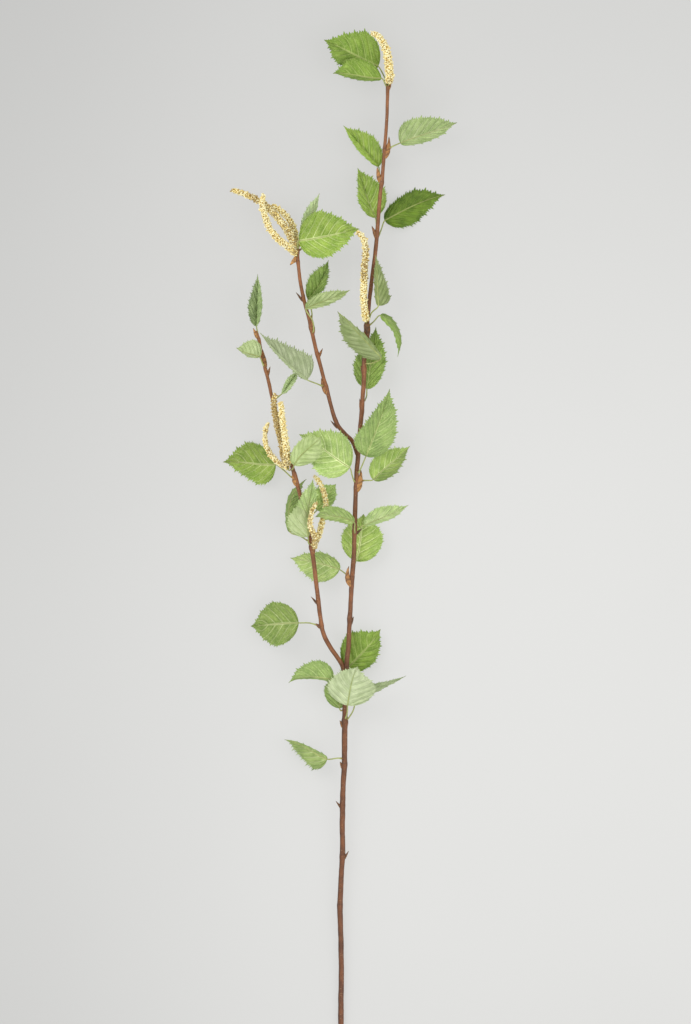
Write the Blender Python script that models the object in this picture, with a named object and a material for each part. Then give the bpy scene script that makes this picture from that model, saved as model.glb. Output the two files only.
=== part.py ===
"""A cut birch branch lying down: one piece of wood with two side twigs and their buds, thirty-seven
serrated leaves on thin stalks, and ten catkins. Every size below is in millimetres and the solids are
built in metres. +Y runs from the cut end to the top of the branch, +Z points up from the ground."""

import math

import bmesh
import bpy
import numpy as np
from mathutils import Vector
from mathutils.bvhtree import BVHTree

MM = 0.001
GAP = 0.3  # free space between a stalk and the bark that it grows from
HALF_SHEET = 0.36  # half of a leaf blade's thickness
STALK_RADIUS = 0.62
SMALLEST_MARGIN = 0.55  # half width of a blade at its two ends
VEIN_LEAD = 0.17  # how far ahead of its root on the midrib a side vein meets the margin
HEART = 0.05  # how far the two lobes of a blade reach back past its stalk
MIDRIB_STEPS = 12
TOOTH_OUT = 1.0
NOTCH_IN = 0.9
TOOTH_FORWARD = 1.3
TOOTH_LIFT = 0.5
WOOD_STEP = 12.0
WOOD_SIDES = 8
CATKIN_SIDES = 6
CATKIN_STEP = 2.7
FLORET_RELIEF = 0.42
FLAT_ON_GROUND = 0.0

# Colours as linear red, green, blue
BARK_BROWN = (0.23, 0.095, 0.045)
CATKIN_GOLD = (0.70, 0.52, 0.17)
TONES = {
    "dark": (0.075, 0.17, 0.025),
    "mid": (0.17, 0.34, 0.06),
    "bright": (0.27, 0.48, 0.10),
    "pale": (0.42, 0.55, 0.25),
}

# Wood: centre line points with height and radius, from the cut end or the fork outwards
MAIN_STEM = (
    (0.5, -469.8, 2.6, 2.8), (0.5, -448.2, 2.7, 2.7), (0.9, -403.2, 4.4, 2.6), (0.9, -358.2, 6.2, 2.5),
    (0, -326.7, 7.6, 2.5), (0.9, -295.2, 9, 2.5), (2.2, -268.2, 10.2, 2.5), (2.2, -241.2, 11.4, 2.5),
    (2.7, -214.2, 12.6, 2.5), (4, -187.2, 13.8, 2.6), (4.3, -160.2, 15, 2.6), (4.7, -133.2, 16.6, 2.5),
    (5.4, -108, 18, 2.4), (7.2, -88.2, 19, 2.2), (9, -56.7, 20.6, 2.2), (10.8, -25.2, 22, 2.2),
    (12.6, 1.8, 23, 2.2), (14, 46.8, 24.4, 2.1), (15.8, 82.8, 25.3, 2.1), (18.9, 118.8, 26, 2.1),
    (21, 145.8, 26.4, 2.1), (22.1, 181.8, 26.6, 2.1), (25.2, 213.3, 26.5, 2), (27.9, 240.3, 26.3, 1.9),
    (31.5, 267.3, 26.1, 1.9), (34.2, 298.8, 25.8, 1.9), (36.7, 325.8, 25.4, 1.8),
    (38.7, 343.8, 25, 1.7), (40.1, 361.8, 24.7, 1.6), (41.9, 388.8, 24.3, 1.5),
    (42.9, 409.5, 24.1, 1.6), (43.2, 420.3, 24, 1.9),
)
LEFT_TWIG = (
    (5, -115.2, 17.6, 1.4), (3.6, -108, 18, 2), (1.8, -101.7, 18.4, 2.1), (-2.7, -94.5, 19.2, 2.1),
    (-9, -85.5, 20.2, 2.1), (-14.4, -74.7, 21.4, 2.1), (-18, -56.7, 23.2, 2), (-21.2, -29.7, 25.2, 2),
    (-25.2, 1.8, 27, 2), (-33.3, 40.5, 28, 1.9), (-38.7, 62.1, 28.2, 1.9), (-43.2, 76.5, 28.2, 1.9),
    (-47.7, 91.8, 28, 1.8), (-54, 114.3, 27.6, 1.7), (-61.2, 139.5, 27, 1.6),
    (-65.7, 159.3, 26.3, 1.6), (-69.8, 175.5, 25.4, 1.6), (-73.8, 193.5, 24.3, 1.4),
    (-76, 198.9, 24, 1.1),
)
MIDDLE_TWIG = (
    (15.3, 87.3, 25.4, 1.3), (10.8, 99.9, 26, 1.9), (4.5, 106.2, 26.8, 1.9), (-2.7, 115.2, 28, 1.9),
    (-9, 135, 29.6, 1.8), (-15.3, 159.3, 30.6, 1.8), (-21.6, 181.8, 31, 1.8), (-27, 207, 31, 1.8),
    (-32.4, 226.8, 30.6, 1.7), (-36.5, 249.3, 29.8, 1.6), (-38, 265.5, 29, 1.6),
    (-37.5, 272.7, 28.4, 1.7),
)
# Nodes: place along +Y and how much thicker the wood is there
MAIN_NODES = (
    (-319.5, 1.12), (-228.6, 1.1), (-274.5, 1.1), (-191.7, 1.15), (-153, 1.35), (-104.4, 1.15),
    (-60.3, 1.2), (-23.4, 1.1), (18, 1.2), (57.6, 1.15), (126, 1.1), (163.8, 1.3), (203.4, 1.45),
    (286.2, 1.2), (332.1, 1.35), (361.8, 1.2),
)
LEFT_NODES = (
    (-65.7, 1.2), (-43.2, 1.1), (3.6, 1.4), (69.3, 1.3), (163.8, 1.2), (190.8, 1.2),
)
MIDDLE_NODES = (
    (117.9, 1.1), (148.5, 1.2), (178.2, 1.15), (201.6, 1.3), (229.5, 1.15), (261, 1.25),
)
# Buds and scales: foot, tip, half width, half thickness and sideways lean
BUDS = (
    ((1.8, -231.8, 11.8), (-3.8, -224.6, 12.1), 1.1, 1, 0),
    ((2.7, -278.6, 9.7), (7.9, -269.6, 10.1), 1.1, 1, 0),
    ((3.1, -196.2, 13.4), (0, -189, 13.7), 1.5, 1.3, 0),
    ((3.6, -159.3, 15.1), (-0.2, -151.7, 15.5), 1.6, 1.4, 0),
    ((9.2, -66.6, 20.1), (12.4, -58.1, 20.5), 1.2, 1.1, 0),
    ((10.3, -31.5, 23.2), (8.1, -12.6, 24), 2.4, 1, 2.5),
    ((13.3, 15.3, 23.4), (19.8, 21.2, 23.6), 1.3, 1.1, 0),
    ((14.8, 54, 24.6), (18.9, 73.8, 25.1), 2.9, 2.2, -1),
    ((20.1, 120.6, 26), (17.6, 138.2, 26.3), 1.7, 1.5, 0),
    ((21.6, 159.3, 26.5), (18.7, 167.8, 26.5), 1.6, 1.4, 0),
    ((23.9, 207, 27.9), (25.5, 189.9, 28), 2.3, 1.4, 0),
    ((33.8, 280.8, 26), (28.6, 293.4, 25.9), 1.9, 1.6, 0),
    ((36.9, 332.1, 25.3), (33.5, 346.5, 25), 2.2, 1.7, 0.6),
    ((40.5, 354.2, 24.8), (44.1, 373.9, 24.5), 2.3, 1.8, -1.2),
    ((42.8, 416.7, 24), (41.9, 429.8, 24), 1.2, 0.9, 0),
    ((43.6, 415.8, 24), (46.2, 425.7, 24), 1.5, 1.2, 0),
    ((-17.1, -68.4, 22), (-21.8, -64.4, 22.4), 1.7, 1.2, 0),
    ((-19.5, -47.7, 23.9), (-26.1, -40.1, 24.4), 1.1, 1, 0),
    ((-23.8, -1.8, 27.2), (-26.6, 13.5, 27.7), 2.3, 1.9, 0),
    ((-38.7, 59.4, 28.2), (-41.9, 75.6, 28.2), 2.7, 1.9, 0.6),
    ((-65.7, 157.5, 26.4), (-62.7, 167, 25.9), 1.3, 1.1, 0),
    ((-67, 165.6, 25.9), (-69.9, 182.7, 25), 2.1, 1.7, 0),
    ((-74.2, 192.2, 24.4), (-78.1, 201.6, 24), 1.6, 1.4, 0),
    ((-37.4, 266.4, 28.9), (-45, 257.9, 29.4), 1.3, 0.9, 0),
    ((-32.9, 225, 30.6), (-39.6, 233.6, 30.4), 1.1, 1, 0),
    ((-24, 196.2, 31), (-25.9, 213.3, 30.9), 2.2, 1.8, 0.3),
    ((-19.8, 174.2, 30.9), (-15.5, 183.2, 31), 1.3, 1.1, 0),
    ((-10.5, 141.3, 29.9), (-16.8, 156.2, 30.5), 2.4, 1.9, 1),
    ((-2.2, 111.2, 27.5), (-8.6, 118.4, 28.3), 1, 0.9, 0),
)

# Leaves: base and tip of the blade, half widths as (across, rise) at the widest place,
# and the stalk from a point inside the wood outwards
LEAVES = (
    dict(name="leaf_01", base=(34.2, 437.4, 22), tip=(-14.4, 460.8, 26),
         left=(14, 5), right=(23.5, -3), wide=(0.6, 0.44), blunt=(1.3, 1.05), sweep=(1, -1),
         tone="mid",
         stalk=((42.8, 421.2, 24), (39.6, 428.4, 22))),
    dict(name="leaf_02", base=(36.9, 426.2, 31), tip=(-6.3, 430.2, 31),
         left=(2, -12), right=(14.5, 6), wide=(0.5, 0.5), blunt=(1.5, 1.6), sweep=(2, -3),
         tone="mid",
         stalk=((42.8, 418.5, 24), (40.5, 421.2, 28))),
    dict(name="leaf_03", base=(34.6, 347.4, 18), tip=(3.1, 384.3, 14),
         left=(4.5, 9), right=(14, 3), wide=(0.45, 0.45), blunt=(1.3, 1.2), sweep=(-1, 1),
         tone="bright",
         stalk=((37.8, 334.8, 25), (36, 337.5, 21))),
    dict(name="leaf_04", base=(54.5, 368.1, 27), tip=(105.3, 386.1, 31),
         left=(16, 8), right=(6, -11), wide=(0.24, 0.4), blunt=(1.9, 1.5), sweep=(1, -1),
         tone="pale",
         stalk=((41.2, 361.8, 24.5), (46.4, 364.5, 26))),
    dict(name="leaf_05", base=(31.9, 301.5, 14), tip=(15.8, 346.5, 10),
         left=(8, 10), right=(17.5, 3), wide=(0.35, 0.42), blunt=(1.2, 1.2), sweep=(2, 1),
         tone="bright",
         stalk=((34.2, 287.1, 26), (32.9, 293.4, 18))),
    dict(name="leaf_06", base=(40.5, 299.2, 9), tip=(95, 322.7, 0.6),
         left=(12.8, 0), right=(15, 0), wide=(0.56, 0.38), blunt=(1.2, 1.2), sweep=(2, 4),
         arch=(-5, -6), tone="dark", rest=True,
         stalk=((33.3, 282.6, 26), (36.9, 289.8, 17))),
    dict(name="leaf_07", base=(34.6, 221.4, 38), tip=(31.9, 267.3, 35),
         left=(2.6, -6.5), right=(10, -9), wide=(0.35, 0.14), blunt=(1.4, 1.15), sweep=(0, -1),
         arch=(2, 1), tone="pale", under=True,
         stalk=((24.8, 207.9, 26.5), (28.4, 215.1, 33))),
    dict(name="leaf_08", base=(36.5, 212.8, 33), tip=(51.8, 175.5, 30),
         left=(4, -14), right=(3.5, 14), wide=(0.3, 0.3), blunt=(1.6, 1.6), sweep=(10, 9),
         arch=(2, 2), tone="mid",
         stalk=((24.3, 202.5, 26.5), (30.6, 207.5, 30))),
    dict(name="leaf_09", base=(36.9, 174.6, 39), tip=(-2.2, 216, 40),
         left=(13.5, -9), right=(3.5, -9), wide=(0.5, 0.4), blunt=(1.5, 1.4), sweep=(0, 0),
         arch=(2, 2), tone="pale", under=True,
         stalk=((21.6, 169.2, 26.5), (29.7, 170.1, 33))),
    dict(name="leaf_10", base=(24.3, 147.2, 15), tip=(32.4, 203, 11),
         left=(15, 6), right=(13, 4), wide=(0.35, 0.45), blunt=(1.3, 1.3), sweep=(0, -1),
         tone="mid",
         stalk=((20.9, 135, 26.3), (23.9, 140.4, 19))),
    dict(name="leaf_11", base=(23.4, 86.4, 35), tip=(44.6, 146.7, 40),
         left=(15.2, 7), right=(18, 4), wide=(0.22, 0.38), blunt=(1.05, 1.4), sweep=(-1, -2),
         tone="mid",
         stalk=((15.3, 70.2, 25), (18.9, 75.6, 32))),
    dict(name="leaf_12", base=(30.2, 65.2, 23), tip=(63, 95.4, 24),
         left=(14, 5), right=(9, -12), wide=(0.4, 0.42), blunt=(1.3, 1.2), sweep=(2, -1),
         tone="bright",
         stalk=((15.3, 63.9, 25), (22.5, 64.4, 24))),
    dict(name="leaf_13", base=(8.6, 76, 33), tip=(-36.9, 105.8, 32),
         left=(20, 4), right=(21, 3), wide=(0.35, 0.42), blunt=(1.3, 1.3), sweep=(1, -3),
         tone="bright",
         stalk=((14.4, 61.2, 25), (10.8, 69.3, 31))),
    dict(name="leaf_14", base=(-41, 78.1, 42.5), tip=(-17.1, 103.5, 50),
         left=(10, -4), right=(12, -5), wide=(0.5, 0.5), blunt=(2.2, 2.2), sweep=(4, -1),
         tone="pale", under=True,
         stalk=((-43.2, 73.8, 28), (-41.9, 75.6, 37.5))),
    dict(name="leaf_15", base=(14.4, -8.1, 13), tip=(21.2, 34.2, 9),
         left=(17, 3), right=(20, 2), wide=(0.45, 0.5), blunt=(1.7, 1.7), sweep=(-2, 0),
         tone="bright",
         stalk=((11.2, -18, 22.6), (13.1, -12.6, 17))),
    dict(name="leaf_16", base=(22.1, 24.3, 27), tip=(61.6, 42.3, 30),
         left=(10, 10), right=(4, -10), wide=(0.38, 0.5), blunt=(1.3, 1.4), sweep=(0, -2),
         tone="pale",
         stalk=((13.8, 22.5, 23.8), (18, 22.5, 27))),
    dict(name="leaf_17", base=(12.6, 27, 35), tip=(-22.1, 31.5, 37),
         left=(4, -7), right=(8.5, 4), wide=(0.4, 0.6), blunt=(2.2, 3.2), sweep=(-4, -4),
         tone="pale",
         stalk=((13.5, 15.3, 23.5), (13.1, 21.6, 31))),
    dict(name="leaf_18", base=(-0.5, -15.8, 15), tip=(-45, -5.4, 11),
         left=(16.5, 2), right=(9.5, -8), wide=(0.4, 0.45), blunt=(1.3, 1.3), sweep=(-2, -1),
         tone="bright",
         stalk=((10.3, -27.9, 22.2), (5.4, -20.2, 17))),
    dict(name="leaf_19", base=(6.3, -105.3, 10), tip=(36.5, -69.8, 8),
         left=(21.5, 3), right=(13.5, -3), wide=(0.5, 0.45), blunt=(1.2, 1.3), sweep=(-1, -3),
         tone="mid",
         stalk=((5.9, -115.2, 18), (6.3, -109.8, 12))),
    dict(name="leaf_20", base=(-5.4, -114.8, 27), tip=(-46.4, -117.9, 20),
         left=(1.5, -7), right=(15, 4), wide=(0.4, 0.36), blunt=(1.3, 1.3), sweep=(-3, -8),
         tone="mid",
         stalk=((4.7, -122.4, 18), (0, -116.1, 25))),
    dict(name="leaf_21", base=(6.8, -137.7, 29), tip=(15.8, -102.6, 42),
         left=(20, -5), right=(22, -3), wide=(0.35, 0.5), blunt=(1.5, 1.6), sweep=(1, 3),
         tone="pale", under=True,
         stalk=((4.5, -152.1, 16), (6.6, -144, 24))),
    dict(name="leaf_22", base=(-0.5, -140.8, 12), tip=(0, -109.8, 8),
         left=(14, 2), right=(9, 1), wide=(0.5, 0.5), blunt=(1.7, 1.7), sweep=(0, 0),
         tone="dark",
         stalk=((4.6, -142.2, 16.5), (0.9, -143.1, 13))),
    dict(name="leaf_23", base=(15.3, -131.4, 25), tip=(59.4, -111.6, 21),
         left=(3.5, 7), right=(3, -8), wide=(0.35, 0.35), blunt=(1.5, 1.5), sweep=(3, 0),
         tone="pale",
         stalk=((4.7, -153, 16), (11.7, -143.1, 22))),
    dict(name="leaf_24", base=(-11.7, -186.8, 17), tip=(-50, -169.2, 14),
         left=(12.5, -3), right=(2, -9), wide=(0.19, 0.4), blunt=(1.25, 1.3), sweep=(1, -4),
         tone="bright",
         stalk=((4, -186.3, 13.8), (-1.8, -185.8, 16.5))),
    dict(name="leaf_25", base=(-36.5, 279.9, 33), tip=(17.6, 290.2, 37),
         left=(23.5, 5), right=(18.5, 3), wide=(0.42, 0.38), blunt=(1.2, 1.3), sweep=(-2, 0),
         tone="bright",
         stalk=((-37.5, 270.9, 28.5), (-37.8, 275.4, 32.5))),
    dict(name="leaf_26", base=(-35.6, 280.8, 26), tip=(-18.4, 323.1, 22),
         left=(6, 7), right=(3, -10), wide=(0.45, 0.45), blunt=(1.6, 1.6), sweep=(-1, 0),
         tone="pale",
         stalk=((-37.5, 270, 28.5), (-34.2, 274.5, 26.5))),
    dict(name="leaf_27", base=(-28.8, 227.7, 27), tip=(-10.3, 262.8, 22),
         left=(11, 5), right=(5.5, 5), wide=(0.45, 0.42), blunt=(1.2, 1.3), sweep=(-5, -3),
         tone="dark",
         stalk=((-27, 207, 31), (-22.1, 211.5, 28.5), (-24.8, 219.6, 27.5))),
    dict(name="leaf_28", base=(-30.6, 219.2, 39), tip=(9, 235.3, 39),
         left=(7, 6), right=(4, -9), wide=(0.35, 0.6), blunt=(1.7, 1.5), sweep=(0, -1),
         arch=(1, 2), tone="pale", under=True,
         stalk=((-24.3, 193.5, 31), (-24.3, 207, 37))),
    dict(name="leaf_29", base=(-29.7, 154.8, 38), tip=(-72, 197.1, 43),
         left=(2.5, 7), right=(18, -6), wide=(0.4, 0.2), blunt=(1.4, 1.15), sweep=(2, 3),
         tone="pale", under=True,
         stalk=((-12.6, 148.5, 30), (-20.7, 151.2, 35))),
    dict(name="leaf_30", base=(-75.2, 203.4, 22), tip=(-74.2, 250.2, 20),
         left=(8, 8), right=(4.5, 10), wide=(0.36, 0.38), blunt=(1.25, 1.25), sweep=(0, -1),
         tone="dark",
         stalk=((-73.4, 191.7, 24.3), (-74.2, 198, 22))),
    dict(name="leaf_31", base=(-72.5, 175.5, 31), tip=(-93.2, 183.6, 30),
         left=(2.5, -11), right=(13, 3), wide=(0.4, 0.4), blunt=(1.4, 1.3), sweep=(0, 2),
         arch=(6, 6), tone="pale", under=True,
         stalk=((-67.2, 164.7, 26), (-70.2, 171, 29))),
    dict(name="leaf_32", base=(-52.6, 142.2, 25), tip=(-37.8, 162, 13),
         left=(4.5, 6.5), right=(4.5, 7), wide=(0.45, 0.45), blunt=(1.8, 1.8), sweep=(-1, 1),
         tone="pale",
         stalk=((-60.8, 135.9, 27), (-56.7, 138.6, 26.5))),
    dict(name="leaf_33", base=(-58.1, 78.8, 13), tip=(-105.8, 81, 0.6),
         left=(18, 0), right=(19, 0), wide=(0.28, 0.54), blunt=(1, 1.1), sweep=(2, -2),
         arch=(-7, -8), tone="bright", rest=True,
         stalk=((-41.9, 66.6, 28), (-50.4, 73.4, 20))),
    dict(name="leaf_34", base=(-45, 18, 18), tip=(-30.2, 65.7, 13),
         left=(2.5, -7), right=(9, -8), wide=(0.4, 0.45), blunt=(1.6, 1.5), sweep=(8, 13),
         tone="dark",
         stalk=((-27.6, 9.9, 27), (-36, 14.4, 22))),
    dict(name="leaf_35", base=(-28.4, 14, 36.5), tip=(-24.3, 65.2, 40),
         left=(17.5, 3), right=(2.5, -5), wide=(0.26, 0.6), blunt=(2.4, 2.6), sweep=(4, 1),
         turn_left=(40, 0.25, 0.5), turn_right=(60, 0.5, 0.7), tone="pale", under=True,
         stalk=((-26.1, 6.3, 27), (-28.5, 8.6, 34))),
    dict(name="leaf_36", base=(-20.7, 37.8, 21), tip=(-3.6, 61.2, 19),
         left=(12, 2), right=(8, -2), wide=(0.45, 0.45), blunt=(1.8, 1.8), sweep=(0, 0),
         tone="mid",
         stalk=((-31.1, 28.8, 27), (-26.1, 32.4, 23))),
    dict(name="leaf_37", base=(-37.4, -63.9, 20), tip=(-80.5, -67, 12),
         left=(19.5, 3), right=(20, 3.5), wide=(0.5, 0.48), blunt=(1.25, 1.25), sweep=(-1, 0),
         tone="bright",
         stalk=((-17.1, -66.6, 22.2), (-27.9, -63.9, 21))),
)

# Catkins: centre line from a point inside the wood to the hanging end, and the full radius
CATKINS = (
    ("catkin_01", (
        (43.2, 417.6, 24), (44.5, 427.5, 31), (43.9, 437.4, 34), (42.3, 447.3, 34), (39.6, 455.4, 35),
        (36, 461.7, 35), (31.5, 465.3, 35), (28.4, 466.2, 35),
    ), 3.5),
    ("catkin_02", (
        (-38, 265.5, 29), (-40.2, 268.2, 34.5), (-46.8, 274.5, 37), (-55.8, 281.7, 38),
        (-63, 290.7, 38), (-67.5, 302.4, 37), (-70.2, 313.2, 36), (-68.4, 321.3, 35),
    ), 2.9),
    ("catkin_03", (
        (-37.6, 270.4, 28.5), (-41.4, 274.9, 29), (-45.9, 286.2, 29), (-53.1, 297, 29),
        (-61.2, 306, 28), (-70.2, 314.1, 28), (-81, 319.9, 28), (-90, 323.6, 28), (-97.2, 325.4, 28),
    ), 2.9),
    ("catkin_04", (
        (-37.6, 271.8, 28.4), (-38.7, 277.7, 21.5), (-41, 288, 19), (-45.9, 299.7, 19),
        (-53.1, 306.9, 20), (-61.2, 312.3, 20),
    ), 2.9),
    ("catkin_05", (
        (24.3, 203.4, 26.5), (22.9, 212.4, 34), (22.1, 217.8, 34.5), (21.2, 226.8, 34),
        (21.6, 240.3, 34), (22.1, 253.8, 34), (22.9, 267.3, 35), (22.5, 276.3, 38), (20.2, 282.6, 41),
        (15.3, 288, 43),
    ), 3),
    ("catkin_06", (
        (-42.3, 72.9, 28.2), (-47.2, 75.6, 27), (-51.3, 77.4, 26), (-58.5, 82.8, 26), (-63.9, 90, 26),
        (-66.6, 96.3, 26), (-67.5, 103.5, 26), (-67, 109.8, 26), (-64.4, 116.1, 26),
    ), 2.3),
    ("catkin_07", (
        (-44.3, 78.8, 28), (-48.6, 80.5, 29.6), (-51.1, 86.4, 31.7), (-51.8, 95.4, 32.1),
        (-54.5, 105.3, 32.2), (-56.9, 115.2, 32), (-58.5, 124.2, 32), (-59.4, 133.2, 32),
        (-58.5, 142.2, 32),
    ), 2.7),
    ("catkin_08", (
        (-43.2, 77.4, 28.2), (-45.9, 79.2, 33.2), (-47.8, 84.2, 36.6), (-48.1, 90, 37.5),
        (-48.7, 97.2, 37.7), (-49.7, 105.3, 38), (-50.9, 112.5, 38), (-51.8, 119.7, 38),
        (-52.7, 127.8, 38), (-52.6, 135, 38),
    ), 2.9),
    ("catkin_09", (
        (-25.6, 4, 27), (-21.8, 9, 28.5), (-18.9, 15.3, 28.5), (-16.7, 24.3, 26.5), (-12.6, 42.3, 26),
        (-13.5, 49.5, 26.5), (-16.2, 58.5, 27), (-19.8, 64.8, 27), (-23.4, 68.4, 27),
    ), 2.4),
    ("catkin_10", (
        (-25.6, 2.2, 27), (-22.7, 5.4, 34), (-22.2, 11.7, 40), (-24.3, 18, 43), (-27, 25.2, 44),
        (-26.1, 32.4, 44), (-24.3, 38.7, 44), (-21.6, 44.1, 44),
    ), 2.3),
)


# Small vector helpers
def unit(v):
    return v / max(np.linalg.norm(v), 1e-9)


def through(points, count):
    """A smooth line through the points, with `count` samples evenly spaced by length."""
    pts = np.array(points, float)
    pts = np.vstack([2 * pts[0] - pts[1], pts, 2 * pts[-1] - pts[-2]])
    out = []
    for a, b, c, d in zip(pts[:-3], pts[1:-2], pts[2:-1], pts[3:]):
        t1 = np.linalg.norm((b - a)[:3]) ** 0.5 + 1e-6
        t2 = t1 + np.linalg.norm((c - b)[:3]) ** 0.5 + 1e-6
        t3 = t2 + np.linalg.norm((d - c)[:3]) ** 0.5 + 1e-6
        for t in np.linspace(t1, t2, 12, endpoint=False):
            a1 = (t1 - t) / t1 * a + t / t1 * b
            a2 = (t2 - t) / (t2 - t1) * b + (t - t1) / (t2 - t1) * c
            a3 = (t3 - t) / (t3 - t2) * c + (t - t2) / (t3 - t2) * d
            b1 = (t2 - t) / t2 * a1 + t / t2 * a2
            b2 = (t3 - t) / (t3 - t1) * a2 + (t - t1) / (t3 - t1) * a3
            out.append((t2 - t) / (t2 - t1) * b1 + (t - t1) / (t2 - t1) * b2)
    out.append(pts[-2])
    out = np.array(out)
    run = np.concatenate([[0], np.cumsum(np.linalg.norm(np.diff(out[:, :3], axis=0), axis=1))])
    if np.ndim(count):
        want = np.clip(count, 0, run[-1])
    else:
        want = np.linspace(0, run[-1], count)
    return np.stack([np.interp(want, run, out[:, k]) for k in range(out.shape[1])], 1), run[-1]


def carried(points, side):
    """Tangents and side vectors that turn as little as possible along the points."""
    tangents = np.gradient(points, axis=0)
    tangents = tangents / np.linalg.norm(tangents, axis=1)[:, None]
    sides = []
    for tangent in tangents:
        side = unit(side - tangent * np.dot(side, tangent))
        sides.append(side)
    return tangents, np.array(sides)


def solid(name, points, faces, origin, material, parent=None):
    """One closed body shaded smooth, its own origin at `origin`, hung on the parent empty."""
    origin = np.array(origin, float)
    bm = bmesh.new()
    corners = [bm.verts.new(((p - origin) * MM).tolist()) for p in np.array(points)]
    for face in faces:
        bm.faces.new([corners[int(i)] for i in face])
    bmesh.ops.recalc_face_normals(bm, faces=bm.faces)
    mesh = bpy.data.meshes.new(name)
    bm.to_mesh(mesh)
    bm.free()
    mesh.shade_smooth()
    mesh.set_sharp_from_angle(angle=math.radians(50))
    mesh.materials.append(material)
    obj = bpy.data.objects.new(name, mesh)
    obj.location = origin * MM
    obj.parent = parent
    bpy.context.scene.collection.objects.link(obj)
    return obj


def principled(name, colour, roughness):
    material = bpy.data.materials.new(name)
    material.use_nodes = True
    node = material.node_tree.nodes["Principled BSDF"]
    node.inputs["Base Color"].default_value = (*colour, 1.0)
    node.inputs["Roughness"].default_value = roughness
    return material


def rings_to_mesh(rings):
    """Triangles between rings of equal count, closed at both ends by a fan round the centre."""
    count, sides = len(rings), len(rings[0])
    points = np.concatenate(rings + [[np.mean(rings[0], 0)], [np.mean(rings[-1], 0)]])
    faces = []
    for i in range(count - 1):
        for j in range(sides):
            k = (j + 1) % sides
            a, b, c, d = i * sides + j, i * sides + k, (i + 1) * sides + k, (i + 1) * sides + j
            faces += [(a, b, c), (a, c, d)] if (i + j) % 2 else [(a, b, d), (b, c, d)]
    first, last = count * sides, count * sides + 1
    for j in range(sides):
        k = (j + 1) % sides
        faces.append((first, k, j))
        faces.append((last, (count - 1) * sides + j, (count - 1) * sides + k))
    return points, faces


# Wood
def stem(name, path, nodes, start_half_turn, material, parent):
    """A tapering round stem, thicker at its nodes."""
    line, length = through(path, 400)
    run = np.linspace(0, length, 400)
    at = [float(np.interp(y, line[:, 1], run)) for y, _ in nodes]
    want = list(np.linspace(0, length, max(3, int(length / WOOD_STEP) + 1)))
    for place in at:
        want = [w for w in want if abs(w - place) > 4.0 or w in (0.0, length)]
        want += [place - 2.6, place, place + 2.6]
    want = np.array(sorted(w for w in want if 0 <= w <= length))
    line, _ = through(path, want)
    swell = np.ones(len(want))
    for place, (_, grow) in zip(at, nodes):
        swell = np.maximum(swell, 1 + (grow - 1) * np.exp(-(((want - place) / 2.0) ** 2)))
    tangents, sides = carried(line[:, :3], np.array([1.0, 0, 0]))
    rings = []
    for point, tangent, side, grow in zip(line, tangents, sides, swell):
        up = np.cross(tangent, side)
        angles = (np.arange(WOOD_SIDES) + start_half_turn) * 2 * math.pi / WOOD_SIDES
        ring = point[:3] + point[3] * grow * (np.cos(angles)[:, None] * side + np.sin(angles)[:, None] * up)
        ring[:, 2] = np.maximum(ring[:, 2], FLAT_ON_GROUND)
        rings.append(ring)
    return solid(name, *rings_to_mesh(rings), (0, 0, 0), material, parent)


def bud(name, base, tip, half_width, half_thick, lean, material, parent):
    """A pointed bud or scale with an oval section, its foot inside the stem."""
    base, tip = np.array(base, float), np.array(tip, float)
    along = unit(tip - base)
    side = unit(np.cross([0, 0, 1.0], along))
    up = np.cross(along, side)
    rings = []
    for t, size in ((0.0, 0.55), (0.3, 1.0), (0.62, 0.85), (0.88, 0.42), (1.0, 0.16)):
        centre = base + (tip - base) * t + side * lean * 4 * t * (1 - t)
        angles = np.arange(6) * math.pi / 3 + 0.26
        rings.append(centre + size * (half_width * np.cos(angles)[:, None] * side
                                      + half_thick * np.sin(angles)[:, None] * up))
    return solid(name, *rings_to_mesh(rings), base, material, parent)


def build_wood(material, parent):
    """The main stem, its two twigs and all buds as one body."""
    pieces = [stem("side_twig_left", LEFT_TWIG, LEFT_NODES, 0.25, material, parent),
              stem("side_twig_middle", MIDDLE_TWIG, MIDDLE_NODES, 0.25, material, parent)]
    for number, shape in enumerate(BUDS, 1):
        pieces.append(bud(f"bud_{number:02d}", *shape, material, parent))
    hidden = bpy.data.collections.new("joined_to_wood")
    bpy.context.scene.collection.children.link(hidden)
    for piece in pieces:
        bpy.context.scene.collection.objects.unlink(piece)
        hidden.objects.link(piece)
        piece.hide_render = True
        piece.display_type = "WIRE"
    hidden.hide_render = True
    wood = stem("branch_wood", MAIN_STEM, MAIN_NODES, 0.5, material, parent)
    grow = wood.modifiers.new("grown together", "BOOLEAN")
    grow.operation = "UNION"
    grow.solver = "EXACT"
    grow.operand_type = "COLLECTION"
    grow.collection = hidden
    return wood


def seat(bark, aim, outside):
    """Where a stalk starts: just off the bark, with the direction straight out of it."""
    aim, outside = np.array(aim, float), np.array(outside, float)
    toward = unit(aim - outside)
    hit, normal, _, _ = bark.ray_cast(Vector((outside * MM).tolist()), Vector(toward.tolist()))
    if hit is None:
        hit, normal, _, _ = bark.find_nearest(Vector((outside * MM).tolist()))
    return np.array(hit) / MM, unit(np.array(normal) - 0.001 * toward)


# Leaves
def width_at(t, wide, blunt):
    """Half width of a blade from 0 at its base to 0 at its tip, 1 at the widest place."""
    if t < wide:
        return math.sqrt(max(0.0, 1 - (1 - t / wide) ** 2))
    return 1 - ((t - wide) / (1 - wide)) ** blunt


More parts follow.
